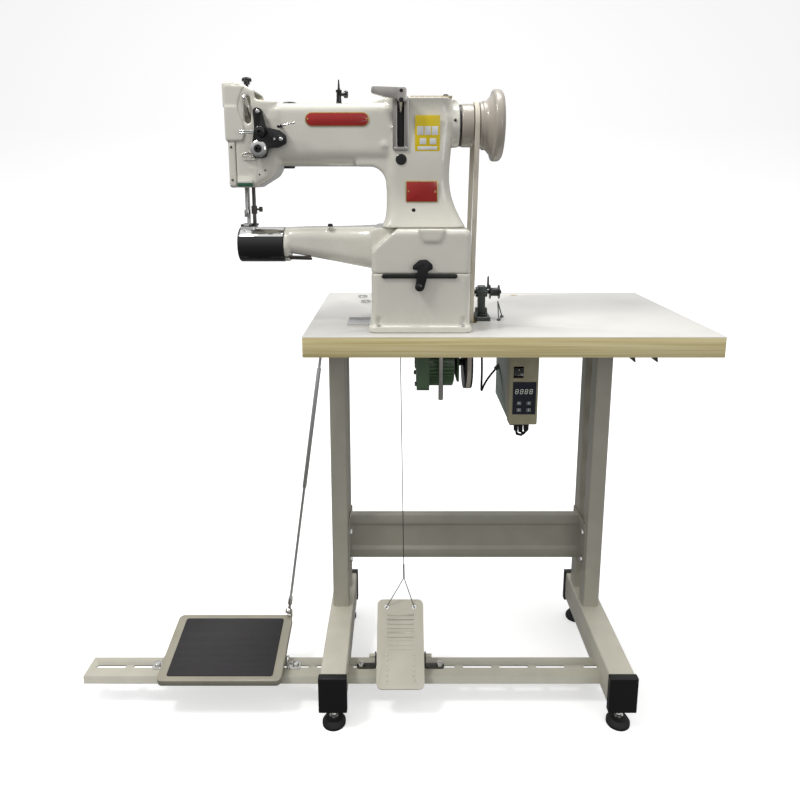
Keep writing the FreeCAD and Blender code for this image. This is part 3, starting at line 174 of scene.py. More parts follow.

# %% [markdown]
# ## The floor
# The floor is one sheet of pale paper that curves up behind the machine, so that no horizon shows. It
# could be a bent plane with a modifier, but a row of points joined into strips is just as short. It is
# hidden from bounced light, because its glow would wash out the dark parts.

# %% Floor
def sweep(front, back, high, bend, wide):
    """A paper sweep: flat under the machine, curving up behind it."""
    rows = [(front, 0), (back, 0)]
    turns = [math.pi * i / 16 for i in range(1, 9)]
    rows += [(back + bend * math.sin(a), bend - bend * math.cos(a)) for a in turns]
    rows.append((back + bend, high))
    mesh = bmesh.new()
    sides = [[mesh.verts.new((x, y, z)) for y, z in rows] for x in (-wide, wide)]
    for i in range(len(rows) - 1):
        mesh.faces.new((sides[0][i], sides[1][i], sides[1][i + 1], sides[0][i + 1]))
    data = bpy.data.meshes.new("paper_sweep")
    mesh.to_mesh(data)
    data.shade_smooth()
    obj = bpy.data.objects.new("paper_sweep", data)
    bpy.context.scene.collection.objects.link(obj)
    return obj


floor = sweep(-4, 1.6, 5, 1.5, 6)
paper = bpy.data.materials.new("paper")
paper.use_nodes = True
for words, value in (("Base Color", (0.9, 0.9, 0.9, 1)), ("Roughness", 0.95),
                     ("Emission Color", (1, 1, 1, 1)), ("Emission Strength", 0.45)):
    paper.node_tree.nodes["Principled BSDF"].inputs[words].default_value = value
floor.data.materials.append(paper)
floor.visible_diffuse = False
floor.visible_glossy = False
print("floor faces:", len(floor.data.polygons))

# %% [markdown]
# ## Sums with sockets
# A material is a sum: so much grain, so much dust, a little wear. Writing the sum in Python is easier
# to read than wiring nodes one by one. `Value` wraps a socket, and its operators add Math nodes.
# `Finish` holds one Principled shader with the patterns that feed it, all laid out in millimetres on
# the machine, so that a grain has the same size on a big casting and on a small one.

# %% Shader maths
class Value:
    """A socket in a finish; +, -, * and / on it add Math nodes."""

    def __init__(self, finish, socket):
        self.finish, self.socket = finish, socket

    def math(self, operation, *others):
        sockets = dict(enumerate((self, *others)))
        return self.finish.add("ShaderNodeMath", {"operation": operation}, sockets)

    def __add__(self, other):
        return self.math("ADD", other)

    def __mul__(self, other):
        return self.math("MULTIPLY", other)

    def __sub__(self, other):
        return self.math("SUBTRACT", other)

    def __rsub__(self, other):
        return self.finish.add("ShaderNodeMath", {"operation": "SUBTRACT"}, {0: other, 1: self})

    def __truediv__(self, other):
        return self.math("DIVIDE", other)

    def __rtruediv__(self, other):
        return self.finish.add("ShaderNodeMath", {"operation": "DIVIDE"}, {0: other, 1: self})

    __radd__ = __add__
    __rmul__ = __mul__

    def between(self, low, high):
        """0 below low and 1 above high, with a smooth step between."""
        sockets = {"Value": self, "From Min": low, "From Max": high}
        return self.finish.add("ShaderNodeMapRange", {"interpolation_type": "SMOOTHSTEP"}, sockets)


class Finish:
    """A procedural material: a Principled shader and the patterns that feed it."""

    def __init__(self, name, colour, rough, **constants):
        self.material = bpy.data.materials.new(name)
        self.material.use_nodes = True
        self.tree = self.material.node_tree
        self.shader = self.tree.nodes["Principled BSDF"]
        self.set("Base Color", (*colour, 1))
        self.set("Roughness", rough)
        for words, value in constants.items():
            self.set(words.replace("_", " ").title(), value)
        self.place = self.add("ShaderNodeTexCoord", {}, {}, "Object")

    def set(self, name, value):
        """A constant on the shader's own socket, or a link into it."""
        self.put(self.shader.inputs[name], value)

    def put(self, socket, value):
        if isinstance(value, Value):
            self.tree.links.new(value.socket, socket)
        elif hasattr(socket.default_value, "__len__") and not hasattr(value, "__len__"):
            socket.default_value = [value] * len(socket.default_value)
        elif socket.type == "RGBA" and len(value) == 3:
            socket.default_value = (*value, 1)
        else:
            socket.default_value = value

    def add(self, kind, settings, sockets, output=0):
        """Any node: its settings first, then the values or links of its sockets."""
        node = self.tree.nodes.new(kind)
        for key, value in settings.items():
            if key == "stops":
                while len(node.color_ramp.elements) < len(value):
                    node.color_ramp.elements.new(0.5)
                for element, (position, shade) in zip(node.color_ramp.elements, value):
                    element.position, element.color = position, (*shade, 1)
            else:
                setattr(node, key, value)
        for key, value in sockets.items():
            self.put(node.inputs[key], value)
        return Value(self, node.outputs[output])

    def noise(self, size, detail=3.0, stretch=(1, 1, 1), rough=0.5):
        """Soft clouds about `size` millimetres across."""
        where = self.add("ShaderNodeMapping", {}, {"Vector": self.place, "Scale": stretch})
        sockets = {"Vector": where, "Scale": 1000 / size, "Detail": detail, "Roughness": rough}
        return self.add("ShaderNodeTexNoise", {}, sockets)

    def cells(self, size):
        """Distance from scattered points about `size` millimetres apart."""
        return self.add("ShaderNodeTexVoronoi", {}, {"Vector": self.place, "Scale": 1000 / size})

    def axis(self, letter):
        """The place along one axis of the frame, in millimetres."""
        return self.add("ShaderNodeSeparateXYZ", {}, {0: self.place}, "XYZ".index(letter)) * 1000

    def blend(self, mask, first, second):
        """Colour `first` where the mask is 0 and `second` where it is 1."""
        sockets = {0: mask, 6: first, 7: second}
        return self.add("ShaderNodeMix", {"data_type": "RGBA"}, sockets, output=2)

    def bump(self, height, depth, under=None):
        """Raises the surface by `depth` millimetres where height is 1."""
        sockets = {"Height": height, "Distance": depth / 1000, "Strength": 1.0}
        if under is not None:
            sockets["Normal"] = under
        return self.add("ShaderNodeBump", {}, sockets)


def shade(r, g, b):
    """A colour given in ordinary 0-255 numbers, as the shader's linear light."""
    return tuple((c / 255 / 12.92) if c < 10 else ((c / 255 + 0.055) / 1.055) ** 2.4 for c in (r, g, b))


def darker(colour, share):
    """The same hue with only a share of its light."""
    return tuple(c * share for c in colour)


print("a mid cream in linear light:", [round(v, 3) for v in shade(222, 219, 207)])

# %% [markdown]
# ## Paints
# Cast iron is never quite flat. The paint over it flows into a fine orange peel, dust settles in it,
# and its gloss breaks up a little. Each paint below is one function with its own colour and gloss,
# so the castings, the stand and the motor share the recipe but not the look. The peel is bump and not
# geometry, because it is so shallow that only the highlights show it.

# %% Paint recipes
def paint(name, colour, rough=0.3, coat=0.5, peel=0.12, peel_size=5.0, mottle=0.93):
    """Sprayed enamel with orange peel, faint cloudiness and a few dust specks."""
    f = Finish(name, colour, rough, coat_weight=coat, coat_roughness=0.06)
    clouds = f.noise(60, 2)
    specks = f.cells(9).between(0.07, 0.03) * f.noise(30).between(0.5, 0.7)
    base = f.blend(clouds.between(0.35, 0.7), darker(colour, mottle), colour)
    f.set("Base Color", f.blend(specks * 0.5, base, darker(colour, 0.55)))
    f.set("Roughness", rough + f.noise(14) * 0.14 - 0.07)
    fine = f.bump(f.noise(1.1, 2), peel * 0.2)
    f.set("Normal", f.bump(f.noise(peel_size, 2), peel, fine))
    return f.material


cream = paint("cream_enamel", shade(222, 219, 207), 0.24, 0.95, 0.3, 6.0, 0.96)
stand_paint = paint("stand_paint", shade(190, 187, 172), 0.42, 0.15, 0.05, 3.0)
# The next three paints are copies of the stand paint with light and shade painted in. The lighter copy, for
# the floor runners, the lift pedal and its pips, is painted light. The darker copy for the crossbeam is
# painted shade from the table above it, and the darker copy for the slanted treadle is painted shade.
stand_paint_lit = paint("stand_paint_lit", shade(208, 204, 188), 0.4, 0.2, 0.06, 3.0)
stand_paint_shaded_beam = paint("stand_paint_shaded_beam", shade(164, 162, 148), 0.42, 0.2, 0.05, 3.0)
stand_paint_shaded_treadle = paint("stand_paint_shaded_treadle", shade(158, 153, 136), 0.4, 0.2, 0.08, 3.0, 0.88)
wheel_paint = paint("wheel_paint", shade(172, 164, 152), 0.3, 0.5, 0.05, 4.0)
motor_green = paint("motor_green", shade(92, 120, 88), 0.38, 0.2, 0.08, 3.0, 0.85)
box_green = paint("box_green", shade(128, 156, 138), 0.38, 0.2, 0.05, 2.0)
winder_paint = paint("winder_paint", shade(44, 56, 50), 0.34, 0.4, 0.2, 3.0, 0.8)
black_gloss = paint("black_gloss", shade(7, 7, 8), 0.16, 0.5, 0.03, 3.0, 0.8)
black_satin = paint("black_satin", shade(14, 14, 15), 0.36, 0.2, 0.05, 2.0, 0.8)
cover_bronze = paint("cover_bronze", shade(196, 182, 150), 0.35, 0.3, 0.04, 3.0)
red_enamel = paint("red_enamel", shade(168, 22, 18), 0.24, 0.5, 0.02, 3.0, 0.9)
guard_green = paint("guard_green", shade(24, 88, 62), 0.35, 0.4, 0.03)
white_paint = paint("white_paint", shade(232, 230, 222), 0.35, 0.3, 0.04, 3.0)
print("paints so far:", len(bpy.data.materials))


# %% [markdown]
# ## Metals
# Bright parts differ by how they were made. A ground bar has fine lines round it, a plated bolt is
# a soft mirror, and a die-cast lever has a cloudy, slightly pitted skin. The lines are noise that
# is stretched along one axis, and the clouds only change the roughness.

# %% Metal recipes
def metal(name, colour, rough, stretch=(1, 1, 1), line=0.4, grain=0.01, stain=0.12):
    """Bare or plated metal with machining lines and a clouded gloss."""
    f = Finish(name, colour, rough, metallic=1.0)
    lines = f.noise(line, 2, stretch)
    clouds = f.noise(22, 3)
    stained = clouds.between(0.35, 0.75) * (stain * 4)
    f.set("Base Color", f.blend(stained, colour, darker(colour, 1 - stain)))
    f.set("Roughness", rough + (lines - 0.5) * 0.16 + (clouds - 0.5) * 0.12)
    f.set("Normal", f.bump(lines, grain))
    return f.material


chrome = metal("chrome", shade(222, 222, 220), 0.12, line=2.0, grain=0.002)
ground_steel = metal("ground_steel", shade(186, 186, 184), 0.26, (0.05, 1, 1), 0.5, 0.008)
zinc = metal("zinc_plate", shade(196, 194, 186), 0.3, line=3.0, grain=0.01, stain=0.2)
die_cast = metal("die_cast", shade(206, 202, 196), 0.3, line=1.6, grain=0.03, stain=0.22)
brushed_plate = metal("brushed_plate", shade(186, 182, 176), 0.34, (1, 1, 0.04), 0.6, 0)
gold_rim = metal("gold_rim", shade(206, 178, 112), 0.28, line=2.0, grain=0.006)
dark_steel = metal("dark_steel", shade(104, 102, 98), 0.36, line=2.0, grain=0.02, stain=0.3)
print("paints and metals:", len(bpy.data.materials))

# %% [markdown]
# ## Plastics and rubber
# Moulded parts carry the fine texture of the steel mould, which was eroded by sparks to hide sink
# marks. A small noise in the bump gives that grain, and slow clouds stand for handling and age. The
# digits glow by themselves, a little unevenly, as lit segments behind a film do.

# %% Plastics and rubber
def moulded(name, colour, rough=0.5, grain=0.04, size=0.8):
    """Moulded plastic or rubber with a fine spark-eroded texture."""
    f = Finish(name, colour, rough)
    f.set("Base Color", f.blend(f.noise(18).between(0.3, 0.75), darker(colour, 0.88), colour))
    f.set("Roughness", rough + (f.noise(6) - 0.5) * 0.16)
    f.set("Normal", f.bump(f.noise(size, 3), grain))
    return f.material


black_plastic = moulded("black_plastic", shade(6, 6, 7), 0.42)
soft_black = moulded("soft_black", shade(20, 20, 21), 0.62, 0.06, 1.5)
beige_plastic = moulded("beige_plastic", shade(182, 176, 146), 0.42, 0.03)
navy_panel = moulded("navy_panel", shade(26, 32, 48), 0.3, 0)
key_grey = moulded("key_grey", shade(40, 46, 64), 0.35, 0)
white_print = moulded("white_print", shade(226, 228, 230), 0.5, 0.0)
yellow_film = moulded("yellow_film", shade(236, 208, 24), 0.35, 0.005)


def lit_digit():
    """A pale segment that gives its own light."""
    f = Finish("lit_digit", shade(220, 226, 214), 0.4, emission_strength=0.5)
    uneven = f.noise(3).between(0.3, 0.7)
    f.set("Emission Color", f.blend(uneven, shade(170, 176, 160), shade(235, 240, 226)))
    return f.material


digit_glow = lit_digit()
print("finishes so far:", len(bpy.data.materials))

# %% [markdown]
# ## The table board
# The board is plywood under a pale laminate: the top is almost white, and the cut edge shows the
# layers of wood as fine long streaks. It could be two materials on one mesh. One finish can do both,
# because it knows how high each point lies, and then the seam falls exactly on the laminate's edge.

# %% Table board
TABLE_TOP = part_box("table_top")[1].z * 1000
LAMINATE = 1.2           # thickness of the sheet on top
BOARD = 40.0             # thickness of the whole board
VENEER = 3.3             # one layer of the plywood


def board_finish():
    """Laminate above, plywood round the edge and below."""
    f = Finish("table_board", shade(236, 234, 228), 0.3, coat_weight=0.2, coat_roughness=0.3)
    streaks = f.noise(4, 4, (0.012, 0.012, 1))
    fine = f.noise(1.0, 4, (0.012, 0.012, 1))
    woods = [(0.3, shade(196, 180, 122)), (0.55, shade(226, 212, 160)), (0.75, shade(240, 228, 188))]
    ply = f.add("ShaderNodeValToRGB", {"stops": woods}, {0: streaks})
    lines = (f.axis("Z") / VENEER).math("FRACT").between(0.93, 1.0) * 0.25
    ply = f.blend(lines + fine.between(0.58, 0.7) * 0.25, ply, shade(158, 138, 90))
    patches = f.noise(90, 3).between(0.4, 0.75)
    top = f.blend(patches * 0.35, shade(216, 215, 210), shade(202, 199, 192))
    is_top = f.axis("Z").between(TABLE_TOP - LAMINATE - 0.4, TABLE_TOP - LAMINATE)
    is_bottom = 1 - f.axis("Z").between(TABLE_TOP - BOARD + 0.4, TABLE_TOP - BOARD + 0.8)
    f.set("Base Color", f.blend(is_top, f.blend(is_bottom, ply, shade(190, 172, 128)), top))
    f.set("Roughness", 0.62 - is_top * 0.34 + f.noise(12) * 0.1)
    f.set("Normal", f.bump(fine * (1 - is_top) + f.noise(0.9, 2) * is_top * 0.15, 0.12))
    return f.material


table_board = board_finish()
print("board top at", round(TABLE_TOP, 1), "mm")

# %% [markdown]
# ## Belt and mat
# Both are worn by use: the belt's canvas is scuffed grey where it meets the pulleys, and dust from
# shoes lies on the ribbed mat. Ribs and weave repeat exactly, so they are sine waves over the place;
# wear does not repeat, so it is noise.

# %% Belt and mat
def belt_finish():
    """Pale rubberised canvas: a fine diagonal weave with grey scuffs."""
    f = Finish("belt_canvas", shade(206, 198, 180), 0.7)
    warp = (f.axis("Z") * 2.4 + f.axis("Y") * 2.0).math("SINE")
    weft = (f.axis("Z") * 2.4 - f.axis("X") * 3.0).math("SINE")
    weave = warp * weft
    scuff = f.noise(25, 4, (1, 1, 0.3)).between(0.5, 0.75)
    f.set("Base Color", f.blend(scuff * 0.6 + weave * 0.12, shade(210, 203, 188), shade(156, 148, 132)))
    f.set("Normal", f.bump(weave, 0.12))
    return f.material


belt_canvas = belt_finish()


def mat_finish():
    """Ribbed rubber, dusty where shoes have been."""
    f = Finish("mat_rubber", shade(40, 36, 40), 0.55)
    feet = f.noise(70, 3).between(0.5, 0.75) * f.noise(8, 4, (0.15, 1, 1)).between(0.42, 0.7)
    f.set("Base Color", f.blend(feet * 0.55, shade(22, 18, 22), shade(66, 60, 66)))
    f.set("Roughness", 0.45 + feet * 0.35)
    ribs = (f.axis("Y") * 2.1).math("SINE")
    f.set("Normal", f.bump(ribs + f.noise(1.0, 2, (0.2, 1, 1)) * 0.3, 0.28))
    return f.material


mat_rubber = mat_finish()
print("all finishes:", len(bpy.data.materials))

# %% [markdown]
# ## Shapes in millimetres
# `Shape` gathers closed forms in one mesh: blocks, rods, turned profiles and cut plates. Every edge
# is eased a little, because a real edge always catches a thin line of light. A copy of a frame node
# can be a start too: its loose triangles are merged and its flat faces joined before it is eased.
# The same could be done by hand in Edit Mode, but a method can be run again when a size changes.

# %% The Shape class
AXES = {"X": Vector((1, 0, 0)), "Y": Vector((0, 1, 0)), "Z": Vector((0, 0, 1))}
record_slots = {s["node"]: s["material_slot"] for s in frame["record"]["subparts"]}


class Shape:
    """A piece under construction, in drawing millimetres; each method adds a closed form."""

    def __init__(self):
        self.mesh = bmesh.new()
        self.is_cast = False

    @classmethod
    def of(cls, node, join=1.0):
        """A copy of a frame node, merged, with its flat faces joined."""
        shape = cls()
        shape.mesh.from_mesh(frame["nodes"][node].data)
        shape.mesh.transform(to_drawing)
        bmesh.ops.remove_doubles(shape.mesh, verts=shape.mesh.verts, dist=0.002)
        if join:
            bmesh.ops.dissolve_limit(shape.mesh, angle_limit=math.radians(join),
                                     verts=shape.mesh.verts, edges=shape.mesh.edges,
                                     use_dissolve_boundaries=False)
        return shape

    def ease(self, width=0.5, verts=None, steps=2, sharp=32, along=None):
        """Bevels the sharp edges, or only those along one axis."""
        chosen = set(self.mesh.verts if verts is None else verts)
        edges = []
        for edge in self.mesh.edges:
            if edge.verts[0] not in chosen and edge.verts[1] not in chosen:
                continue
            if len(edge.link_faces) != 2 or edge.calc_face_angle(0) < math.radians(sharp):
                continue
            way = (edge.verts[1].co - edge.verts[0].co).normalized()
            if along is None or abs(way.dot(AXES[along])) > 0.99:
                edges.append(edge)
        if width and edges:
            bmesh.ops.bevel(self.mesh, geom=edges, offset=width, offset_type="OFFSET", affect="EDGES",
                            segments=steps, profile=0.5, material=-1, clamp_overlap=True)
        return self

    def keep(self, test):
        """Drops the loose solids whose corners fail the test."""
        bmesh.ops.delete(self.mesh, geom=[v for v in self.mesh.verts if not test(v.co)], context="VERTS")
        return self

    def wire(self, points, radius, sides=12):
        """A bent wire or moulded bead along points."""
        for start, end in zip(points, points[1:]):
            self.rod(start, end, radius, sides=sides, ease=0)
        for point in points[1:-1]:
            self.ball(point, radius)
        return self

    def block(self, low, high, ease=0.5, corner=None):
        """A box between two corners; corner=("Z", 5) rounds the edges along Z first."""
        low, high = Vector(low), Vector(high)
        made = bmesh.ops.create_cube(self.mesh, size=1)["verts"]
        place = Matrix.Translation((low + high) / 2) @ Matrix.Diagonal((*(high - low), 1))
        bmesh.ops.transform(self.mesh, matrix=place, verts=made)
        if corner:
            before = set(self.mesh.verts) - set(made)
            self.ease(corner[1], made, 6, along=corner[0])
            made = [v for v in self.mesh.verts if v not in before]
        self.ease(ease, made)
        return self

    def rod(self, start, end, radius, tip=None, sides=32, ease=0.4):
        """A round bar or cone between two points."""
        start, end = Vector(start), Vector(end)
        before = set(self.mesh.verts)
        made = bmesh.ops.create_cone(self.mesh, cap_ends=True, segments=sides, radius1=radius,
                                     radius2=radius if tip is None else tip, depth=(end - start).length)
        turn = (end - start).to_track_quat("Z", "Y").to_matrix().to_4x4()
        place = Matrix.Translation((start + end) / 2) @ turn
        bmesh.ops.transform(self.mesh, matrix=place, verts=made["verts"])
        self.ease(ease, [v for v in self.mesh.verts if v not in before], sharp=50 if sides > 12 else 32)
        return self

    def turn(self, profile, at, axis="X", steps=64):
        """A solid or ring turned about an axis through `at` from (along, radius) points."""
        away = AXES["Y" if axis == "Z" else "Z"]
        base = Vector(at)
        points = [base + AXES[axis] * along + away * radius for along, radius in profile]
        verts = [self.mesh.verts.new(p) for p in points]
        edges = [self.mesh.edges.new(pair) for pair in zip(verts, verts[1:])]
        if profile[0][1] and profile[-1][1]:
            edges.append(self.mesh.edges.new((verts[-1], verts[0])))
        before = set(self.mesh.verts) - set(verts)
        bmesh.ops.spin(self.mesh, geom=verts + edges, cent=base, axis=AXES[axis],
                       dvec=(0, 0, 0), angle=math.tau, steps=steps, use_merge=True,
                       use_normal_flip=False, use_duplicate=False)
        made = [v for v in self.mesh.verts if v not in before]
        bmesh.ops.remove_doubles(self.mesh, verts=made, dist=0.001)
        return self

    def plate(self, points, axis, span, ease=0.4):
        """An outline of (u, v) or (u, v, radius) corners across an axis, thick between two limits."""
        u, v = (AXES[a] for a in "XYZ" if a != axis)
        before = set(self.mesh.verts)
        verts = [self.mesh.verts.new(u * p[0] + v * p[1] + AXES[axis] * span[0]) for p in points]
        face = self.mesh.faces.new(verts)
        for vert, p in zip(verts, points):
            if len(p) > 2:
                ways = [(e.other_vert(vert).co - vert.co) for e in vert.link_edges]
                half = ways[0].angle(ways[1]) / 2
                bmesh.ops.bevel(self.mesh, geom=[vert], offset=p[2] / math.tan(half),
                                offset_type="OFFSET", affect="VERTICES", segments=6,
                                profile=0.5, material=-1)
        face = [f for f in self.mesh.faces if all(w not in before for w in f.verts)]
        made = bmesh.ops.extrude_face_region(self.mesh, geom=face)["geom"]
        top = [g for g in made if isinstance(g, bmesh.types.BMVert)]
        bmesh.ops.translate(self.mesh, verts=top, vec=AXES[axis] * (span[1] - span[0]))
        self.ease(ease, [w for w in self.mesh.verts if w not in before])
        return self

    def ball(self, centre, radius, stretch=(1, 1, 1)):
        """A bead, stretched or flattened along the axes."""
        made = bmesh.ops.create_uvsphere(self.mesh, u_segments=24, v_segments=12,
                                         radius=radius)["verts"]
        place = Matrix.Translation(centre) @ Matrix.Diagonal((*stretch, 1))
        bmesh.ops.transform(self.mesh, matrix=place, verts=made)
        return self

    def hexagon(self, start, end, across, ease=0.5):
        """A bolt head or nut, `across` its flats."""
        return self.rod(start, end, across / math.sqrt(3), sides=6, ease=ease)

    def tilt(self, pivot, degrees):
        """Turns everything made so far about an X axis through pivot."""
        turn = Matrix.Rotation(math.radians(degrees), 4, "X")
        place = Matrix.Translation(pivot) @ turn @ Matrix.Translation(-Vector(pivot))
        bmesh.ops.transform(self.mesh, matrix=place, verts=self.mesh.verts)
        return self

    def cast(self, grid, rounds):
        """Melts all forms into one skin and softens it, as a mould and thick paint do."""
        data = bpy.data.meshes.new("melt")
        self.mesh.to_mesh(data)
        holder = bpy.data.objects.new("melt", data)
        bpy.context.scene.collection.objects.link(holder)
        skin = holder.modifiers.new("skin", "REMESH")
        skin.mode = "VOXEL"
        skin.voxel_size = grid
        skin.adaptivity = 0
        bpy.context.view_layer.update()
        result = holder.evaluated_get(bpy.context.evaluated_depsgraph_get())
        melted = bpy.data.meshes.new_from_object(result)
        self.mesh.clear()
        self.mesh.from_mesh(melted)
        bpy.data.objects.remove(holder)
        for _ in range(rounds):
            bmesh.ops.smooth_vert(self.mesh, verts=self.mesh.verts, factor=0.5, use_axis_x=True,
                                  use_axis_y=True, use_axis_z=True)
        self.is_cast = True
        return self

    def done(self, name, body, finish, slot, replaces=None, smooth=35):
        """Turns the shape into a finished object that rides on a body."""
        if not self.is_cast:
            bmesh.ops.recalc_face_normals(self.mesh, faces=self.mesh.faces)
        self.mesh.transform(to_frame)
        data = bpy.data.meshes.new(name)
        self.mesh.to_mesh(data)
        self.mesh.free()
        data.shade_smooth()
        data.set_sharp_from_angle(angle=math.radians(180 if self.is_cast else smooth))
        data.materials.append(finish)
        piece = bpy.data.objects.new(name, data)
        bpy.context.scene.collection.objects.link(piece)
        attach(piece, body)
        if replaces:
            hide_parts(replaces)
        print(f"{name}: {len(data.polygons)} faces, rides on {body}")
        return piece


# %% [markdown]
# ## Keep, ease or replace
# A frame node can be treated in three ways. If its shape is right it stays and is only dressed in a
# finish. If it only lacks soft edges, a bevelled copy stands for it. If it needs more, a new shape is
# built. Choosing the least of the three keeps every piece close to the frame.

# %% Dressing and refining
def dress(node, finish):
    """A frame node whose shape is right keeps its mesh and only gets its finish."""
    data = frame["nodes"][node].data
    data.materials.clear()
    data.materials.append(finish)


def refine(node, finish, ease):
    """A frame node with its edges eased, standing for the plain one."""
    body = frame["nodes"][node]["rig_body"]
    Shape.of(node).ease(ease).done(f"{node}_piece", body, finish, record_slots[node], node)


print("frame nodes to finish:", len(record_slots))

# %% [markdown]
# ## The motor's cable
# One sheathed cable leaves the motor's gland, sags behind the belt and rises into the slanted gland
# of the control box. It could be a bezier with handles to balance, but a NURBS curve through few
# points bends evenly by itself, as a stiff rubber cable does. Four rings make its strain relief.

# %% Motor cable
CABLE_THICK = 0.0052     # metres
CABLE_ROUTE = [(0.092, 0.007, 0.782), (0.092, 0.033, 0.782), (0.106, 0.060, 0.798), (0.142, 0.077, 0.806),
               (0.182, 0.080, 0.805), (0.220, 0.077, 0.788), (0.236, 0.072, 0.750), (0.2375, 0.0688, 0.703),
               (0.2375, 0.0733, 0.6583), (0.2403, 0.093, 0.6386), (0.2474, 0.1199, 0.6414),
               (0.2615, 0.134, 0.66114), (0.279, 0.134, 0.683)]
sheath = bpy.data.curves.new("motor_cable_run", "CURVE")
sheath.dimensions = "3D"
sheath.bevel_depth = CABLE_THICK / 2
sheath.bevel_resolution = 4
sheath.resolution_u = 12
line = sheath.splines.new("NURBS")
line.points.add(len(CABLE_ROUTE) - 1)
for point, place in zip(line.points, CABLE_ROUTE):
    point.co = (*place, 1)
line.order_u = 3
line.use_endpoint_u = True
sheath.materials.append(soft_black)
cable = bpy.data.objects.new("motor_cable_run", sheath)
bpy.context.scene.collection.objects.link(cable)
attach(cable, "machine")
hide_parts("motor_cable")
relief = Shape()
for i in range(4):
    near = i * 4.6
    relief.turn([(near, 3.2), (near, 5.2), (near + 3, 5.2), (near + 3, 3.2)], (236, 266.5, 800), "Y", 32)
relief.done("cable_relief", "machine", soft_black, "cable_sheath")

# %% [markdown]
# ## Castings
# The arm, the two halves of the pedestal and the end cover are iron, poured in sand, ground smooth
# and sprayed. Nothing on them is sharp. Each one starts from its frame node, gets the small pads and
# bosses that were cast with it, and is then melted into one skin, so that every pad grows out of the
# wall with a soft root.

# %% Arm and head
FRONT = 82.0             # front wall of the needle head
arm = Shape.of("arm_casting", 0)
arm.rod((-60, FRONT - 2.5, 1278), (-60, FRONT + 3, 1278), 6)
arm.block((-49.5, FRONT - 3.5, 1274), (-42, FRONT + 3, 1297), 1)
arm.rod((187, 74.5, 1203), (187, 80, 1203), 15)
arm.rod((-95, FRONT - 1.5, 1187), (-95, FRONT + 3, 1187), 4.5)
arm.block((-93.5, FRONT - 2.5, 1156), (-89.5, FRONT + 3, 1183), 1)
arm.rod((155, 77, 1230), (155, 82, 1230), 5.5)
arm.rod((171, 73, 1262), (171, 80, 1262), 2)
arm.rod((276, 130, 1318), (276, 130, 1310), 20)
arm.block((-125, FRONT - 2.5, 1156), (-98, FRONT + 3, 1168), 1)
arm.cast(2.9, 3)
arm.done("arm_and_head", "machine", cream, "cream_enamel", "arm_casting")

# %% [markdown]
# ## Pedestal and bed
# The bed is a long cone on a block, with a shallow pocket in front, and the pedestal is a hollow box
# under it. They could be melted together, but then the seam where the real halves meet would fill
# up, so each is melted alone. The grid is a little finer than the arm's, to keep the pocket crisp.

# %% Pedestal and bed
bed = Shape.of("upper_base", 0)
bed.plate([(218, 1075, 3), (272, 1075, 3), (260, 1050, 6), (230, 1050, 6)], "Y", (32.5, 40), 1)
bed.rod((48, 98, 1070), (48, 98, 1077), 7, 5)
bed.cast(2.6, 3)
bed.done("bed_and_collar", "machine", cream, "cream_enamel", "upper_base")

pedestal = Shape.of("lower_base", 0)
pedestal.block((300, 80, 900), (322.5, 180, 960), 3)
pedestal.cast(2.4, 3)
pedestal.done("pedestal", "machine", cream, "cream_enamel", "lower_base")

# %% [markdown]
# ## End cover
# The left end of the head is closed by a dished cover. Its lower part is a narrow pan; above it a
# wide half-round drum stands out, and the top is a flat slanted brow. Overlapping blocks and cut
# plates are laid together and melted, which is simpler than modelling the joints between them.

# %% End cover
cover = Shape()
cover.block((-149.5, 82, 1298), (-128, 178, 1345.5), 4)
cover.block((-148, 80.5, 1236), (-127, 179, 1303), 7)
cover.block((-143, 83, 1150), (-128, 177, 1244), 4)
drum = [(-146, 1302, 3), (-146, 1237, 5), (-112, 1237, 5), (-108, 1252), (-112, 1272),
        (-119, 1290), (-121, 1302, 2)]
brow = [(-146, 1340, 6), (-146, 1298), (-121, 1298), (-117, 1314), (-111, 1330), (-104, 1338, 3)]
cover.plate(drum, "Y", (79, 90), 3.5)
cover.plate(brow, "Y", (80.6, 90), 1.5)
cover.plate([(-141, 1234, 3), (-141, 1153, 3), (-128.5, 1153), (-128.5, 1234)], "Y", (81.2, 90), 1.5)
cover.cast(1.6, 2)
cover.done("end_cover", "machine", cream, "cream_enamel", "face_plate")
cover_screws = Shape()
for x, z in ((-136, 1165), (-136, 1226)):
    cover_screws.turn([(79.6, 0), (79.8, 1.6), (81.4, 2.6)], (x, 0, z), "Y", 24)
for y, z in ((92, 1160), (168, 1160), (92, 1336), (168, 1336)):
    x = -143 if z < 1200 else -149.5
    cover_screws.turn([(x - 1.2, 0), (x - 1, 2.4), (x + 0.6, 3.4)], (0, y, z), "X", 24)
cover_screws.done("cover_screws", "machine", dark_steel, "steel")

# %% [markdown]
# ## Sheet and tube with crisp edges
# The stand is welded from square tube and folded sheet. Those parts are right in the frame, and all
# they lack is an edge: a folded sheet has a small radius, a sawn one a light chamfer. One table lists
# them all, with a finish and the width of the edge, so that a new part is one more entry.

